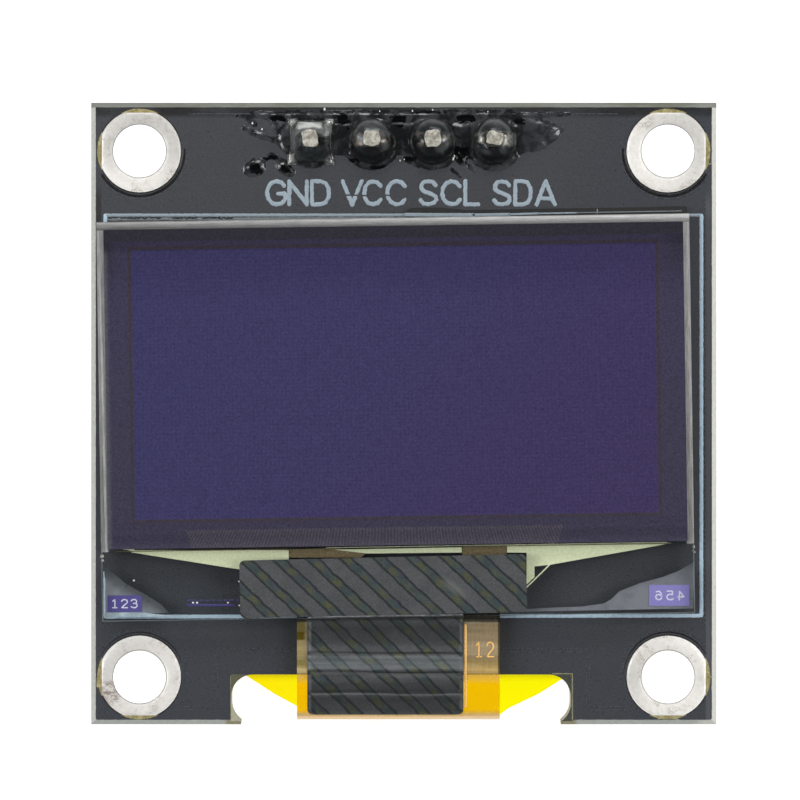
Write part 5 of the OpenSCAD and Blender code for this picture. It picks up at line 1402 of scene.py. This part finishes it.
# printed line and plain digits on the flex
zx = zf + 0.001
s = Strokes()
s.line([(2.56, -8.75), (2.56, -12.15)], 0.10, zx, 0.008, 0.05, 0.2)
for i, ch in enumerate("12"):
    for poly in GLYPH[ch]:
        s.line([(2.98 + 0.47 * i + 0.27 * u, -10.06 + 0.60 * t) for u, t in poly], 0.06, zx, 0.008, 0.05, 0.05)
s.done("flex_print", ORANGE)

# ------------------------------------------------------------------ solder row of the tail and back-side parts
YE = top("flex_cable").y / 1.0
TAIL_END = -3.9
MIDX = -0.225
v, f = [], []
for k in range(30):
    cx = MIDX + (k - 14.5) * 0.62
    b0 = len(v)
    nu, nv = 8, 22
    for j in range(nv + 1):
        t = j / nv
        y = TAIL_END - 1.2 + 1.9 * t
        prof = 0.115 * (math.sin(math.pi * min(1, t * 1.02)) ** 0.6) + 0.03
        basez = -0.135 if y < TAIL_END else -0.035 - 0.10 * max(0, 1 - (y - TAIL_END) / 0.25)
        for i in range(nu + 1):
            u = 2 * i / nu - 1
            z = basez - prof * math.sqrt(max(0, 1 - u * u)) * (1 + wobble(k * 1.3, t * 3, 0, 1.0, 0.25))
            v.append((cx + u * 0.165 * (1 + wobble(k * 2.1, t * 4, 3, 1.0, 0.10)), y, z))
    for j in range(nv):
        for i in range(nu):
            a = b0 + j * (nu + 1) + i
            f.append((a, a + nu + 1, a + nu + 2, a + 1))
o = piece("tail_solder", v, f, SOLDER_S)
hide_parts("flex_solder_row")


def round_box(bm, c, s, r, mi):
    """An axis-aligned rounded box in a bmesh, millimetres."""
    made = bmesh.ops.create_cube(bm, size=1.0)["verts"]
    for q in made:
        q.co = Vector((c[0] + q.co.x * s[0], c[1] + q.co.y * s[1], c[2] + q.co.z * s[2])) * MM
    es = list({e for q in made for e in q.link_edges})
    fs = set()
    res = bmesh.ops.bevel(bm, geom=es, offset=r * MM, segments=3, affect="EDGES", profile=0.5)
    for q in res["verts"]:
        fs.update(q.link_faces)
    for q in fs:
        q.material_index = mi


def chip(node_name, kind):
    lo, hi = low(node_name), top(node_name)
    cx, cy = (lo.x + hi.x) / 2, (lo.y + hi.y) / 2
    lx, ly, h = hi.x - lo.x, hi.y - lo.y, hi.z - lo.z
    along_x = lx > ly
    L, W = (lx, ly) if along_x else (ly, lx)
    bm = bmesh.new()
    zc = (lo.z + hi.z) / 2
    cap = 0.24 if L < 1.8 else 0.38

    def box(dl, sl, sw, sh, zz, r, mi):
        c = (cx + dl, cy, zz) if along_x else (cx, cy + dl, zz)
        s_ = (sl, sw, sh) if along_x else (sw, sl, sh)
        round_box(bm, c, s_, r, mi)

    if kind == "cap":
        box(0, L - 0.06, W - 0.05, h - 0.05, zc, 0.05, 0)
        for sg in (-1, 1):
            box(sg * (L / 2 - cap / 2), cap, W, h, zc, 0.07, 1)
        mats = [CERAMIC, CHIP_TIN]
    else:
        box(0, L - 0.03, W - 0.03, h - 0.05, zc + 0.02, 0.02, 0)
        box(0, L - 2 * cap + 0.06, W - 0.05, 0.03, lo.z + 0.012, 0.012, 2)
        for sg in (-1, 1):
            box(sg * (L / 2 - cap / 2), cap, W, h - 0.015, zc + 0.005, 0.04, 1)
        mats = [ALUMINA, CHIP_TIN, GLAZE]
    me = bpy.data.meshes.new(node_name + "_body")
    bm.to_mesh(me)
    bm.free()
    for m in mats:
        me.materials.append(m)
    o = bpy.data.objects.new(node_name + "_body", me)
    bpy.context.scene.collection.objects.link(o)
    for p in me.polygons:
        p.use_smooth = True
    me.set_sharp_from_angle(angle=math.radians(50))
    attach(o, "root")
    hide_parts(node_name)
    return cx, cy, L, W, h, along_x


fv, ff = [], []


def fillet(cx, cy, dx, dy, w, reach, h):
    """Concave solder climbing an end face: (cx, cy) is the middle of the foot of that face, (dx, dy) points away."""
    b0, nu, nv = len(fv), 12, 10
    for j in range(nv + 1):
        t = j / nv
        for i in range(nu + 1):
            u = 2 * i / nu - 1
            side = math.sqrt(max(0.0, 1 - abs(u) ** 5))
            out = reach * t * (0.75 + 0.25 * side)
            z = -0.037 - h * (1 - t) ** 2.3 * (0.55 + 0.45 * side)
            ox, oy = -dy * u * w / 2, dx * u * w / 2
            fv.append((cx + dx * out + ox, cy + dy * out + oy, z))
    for j in range(nv):
        for i in range(nu):
            a = b0 + j * (nu + 1) + i
            ff.append((a, a + nu + 1, a + nu + 2, a + 1))


CHIPS = [chip("capacitor_%d" % k, "cap") for k in range(1, 9)] + [chip("resistor_%d" % k, "res") for k in range(1, 8)]
for cx, cy, L, W, h, ax in CHIPS:
    for sg in (-1, 1):
        if ax:
            fillet(cx + sg * (L / 2 - 0.005), cy, sg, 0, W, 0.36, min(0.55 * h, 0.42))
        else:
            fillet(cx, cy + sg * (L / 2 - 0.005), 0, sg, W, 0.36, min(0.55 * h, 0.42))
o = piece("chip_fillets", fv, ff, SOLDER_S, angle=80)
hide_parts("smd_solder")

# traces, vias and printed outlines on the back
s = Strokes()
ZB = 0.003
tr = []
for k in range(0, 30, 1):
    cx = MIDX + (k - 14.5) * 0.62
    if k % 3 == 0:
        tr.append([(cx, -3.0), (cx, -2.5 + 0.1 * (k % 4)), (cx + (0.5 if k < 15 else -0.5), -1.9)])
tr += [[(-5.0, 0.3), (-5.0, 2.2), (-3.6, 3.2)], [(-2.6, 0.3), (-2.6, 2.4), (-1.4, 3.2)], [(-0.2, 0.3), (-0.2, 2.6), (0.8, 3.2)], [(2.2, 0.3), (2.2, 3.0), (3.6, 5.5), (3.6, 9.6)],
       [(4.6, 0.3), (5.2, 2.0), (6.5, 2.8)], [(9.4, 5.6), (9.4, 8.4), (7.5, 9.4), (5.6, 9.4)], [(-6.8, 8.4), (-6.0, 9.6), (-5.3, 10.0)], [(-7.7, 5.2), (-8.6, 4.6), (-9.6, 5.0)],
       [(-9.6, 2.4), (-10.4, 0.6), (-10.2, -0.8)], [(7.2, 0.2), (6.2, 0.8), (6.5, 2.8)], [(-3.6, 5.3), (-3.0, 7.0), (-2.4, 7.6)], [(-1.4, 5.3), (-0.6, 6.6)], [(0.8, 5.3), (1.2, 7.0)],
       [(3.4, 7.6), (5.0, 8.6), (5.0, 10.0)], [(-11.6, 8.0), (-11.6, -8.0)], [(11.6, 8.0), (11.6, -8.0)]]
for t in tr:
    s.line(t, 0.22, ZB, 0.016, 0.0, 0.2, down=True)
s.done("back_traces", RELIEF)
s = Strokes()
for a, b, w, h in ((-6.8, 6.8, 3.6, 3.6), (-8.9, -0.8, 3.5, 1.7)):
    s.line([(a - w / 2, b - h / 2), (a + w / 2, b - h / 2), (a + w / 2, b + h / 2), (a - w / 2, b + h / 2)], 0.13, ZB, 0.018, 0.15, 0.1, closed=True, down=True)
for cx, cy, L, W, h, ax in CHIPS:
    a, b = (L / 2 + 0.62, W / 2 + 0.24) if ax else (W / 2 + 0.24, L / 2 + 0.62)
    if ax:
        s.line([(cx - a, cy - b), (cx + a, cy - b)], 0.11, ZB, 0.016, 0.15, 0.1, down=True)
        s.line([(cx - a, cy + b), (cx + a, cy + b)], 0.11, ZB, 0.016, 0.15, 0.1, down=True)
    else:
        s.line([(cx - a, cy - b), (cx - a, cy + b)], 0.11, ZB, 0.016, 0.15, 0.1, down=True)
        s.line([(cx + a, cy - b), (cx + a, cy + b)], 0.11, ZB, 0.016, 0.15, 0.1, down=True)
hx0, hx1, hy0, hy1 = low("header_housing").x - 0.2, top("header_housing").x + 0.2, low("header_housing").y - 0.2, top("header_housing").y + 0.12
s.line([(hx0, hy0), (hx1, hy0), (hx1, hy1), (hx0, hy1)], 0.14, ZB, 0.018, 0.15, 0.1, closed=True, down=True)
s.line([(hx0 - 0.35, 11.37), (hx0 - 0.30, 11.37)], 0.3, ZB, 0.018, 0.1, 0.1, down=True)
s.done("back_print", INK)
v, f = [], []
for cx, cy in ((-10.3, 6.8), (-10.2, 1.4), (-6.2, 4.4), (-4.3, 1.9), (-3.4, 6.3), (1.9, 5.9), (3.6, 2.2), (4.7, 6.9), (7.9, 7.6), (11.0, 2.0), (7.9, -1.8), (3.4, -2.6), (-7.0, -2.4), (10.8, -4.4), (-11.2, -4.6), (5.2, 1.0)):
    b0, n = len(v), 24
    for i in range(n):
        a = 2 * math.pi * i / n
        for r, z in ((0.30, 0.002), (0.27, -0.020), (0.17, -0.022), (0.14, 0.0), (0.13, 0.12)):
            v.append((cx + r * math.cos(a), cy + r * math.sin(a), z))
    for i in range(n):
        a, b = b0 + 5 * i, b0 + 5 * ((i + 1) % n)
        for j in range(4):
            f.append((a + j, b + j, b + j + 1, a + j + 1))
piece("back_vias", v, f, GOLD_PAD)

# ------------------------------------------------------------------ stage, lights, camera
fl = bpy.data.meshes.new("floor")
Z = CAD_BOX[0].z - 0.0006
fl.from_pydata([(-.6, -.6, Z), (.6, -.6, Z), (.6, .6, Z), (-.6, .6, Z)], [], [(0, 1, 2, 3)])
fm, nt, b = material("pale_floor", Roughness=0.9)
c = mm_coords(nt)
put(nt, b.inputs["Base Color"], mix(nt, noise(nt, c, 0.05, 2), (0.53, 0.53, 0.53), (0.57, 0.57, 0.57)))
b.inputs["Emission Color"].default_value = (0.985, 0.995, 1, 1)
b.inputs["Emission Strength"].default_value = 0.68
fl.materials.append(fm)
floor = bpy.data.objects.new("floor", fl)
bpy.context.scene.collection.objects.link(floor)

w = bpy.data.worlds.new("soft_room")
w.use_nodes = True
nt = w.node_tree
bg = nt.nodes["Background"]
dz = sep(nt, node(nt, "ShaderNodeTexCoord").outputs["Generated"])[2]
lum = ramp(nt, dz, [(-1.0, 0.9), (-0.05, 0.92), (0.10, 0.88), (0.26, 0.42), (0.50, 0.30), (0.84, 0.26), (0.94, 0.085), (1.0, 0.06)])
put(nt, bg.inputs["Color"], mix(nt, lum, (0, 0, 0), (0.99, 1.0, 1.01)))
bg.inputs["Strength"].default_value = 1.0
bpy.context.scene.world = w


def softbox(name, at, size, power, tilt_to=(0, 0, 0)):
    ld = bpy.data.lights.new(name, "AREA")
    ld.shape = "RECTANGLE"
    ld.size, ld.size_y = size[0] * MM, size[1] * MM
    ld.energy = power
    o = bpy.data.objects.new(name, ld)
    o.location = Vector(at) * MM
    o.rotation_euler = (Vector(tilt_to) * MM - o.location).to_track_quat("-Z", "Y").to_euler()
    bpy.context.scene.collection.objects.link(o)
    return o


softbox("left_box", (-190, 20, 170), (120, 160), 0.36)
softbox("right_box", (190, 20, 170), (120, 160), 0.32)
softbox("top_box", (0, 210, 190), (200, 90), 0.28)

cam = bpy.data.cameras.new("camera")
cam.sensor_width = 36
D = 150.0
cam.lens = 36 * D / (800 / 24.01)
cam.clip_start, cam.clip_end = 0.005, 5
camera = bpy.data.objects.new("camera", cam)
camera.location = Vector((-0.158, 0.583, FRONT + D)) * MM
bpy.context.scene.collection.objects.link(camera)
bpy.context.scene.camera = camera
bpy.context.scene.view_settings.view_transform = "Standard"
bpy.context.scene.view_settings.look = "None"
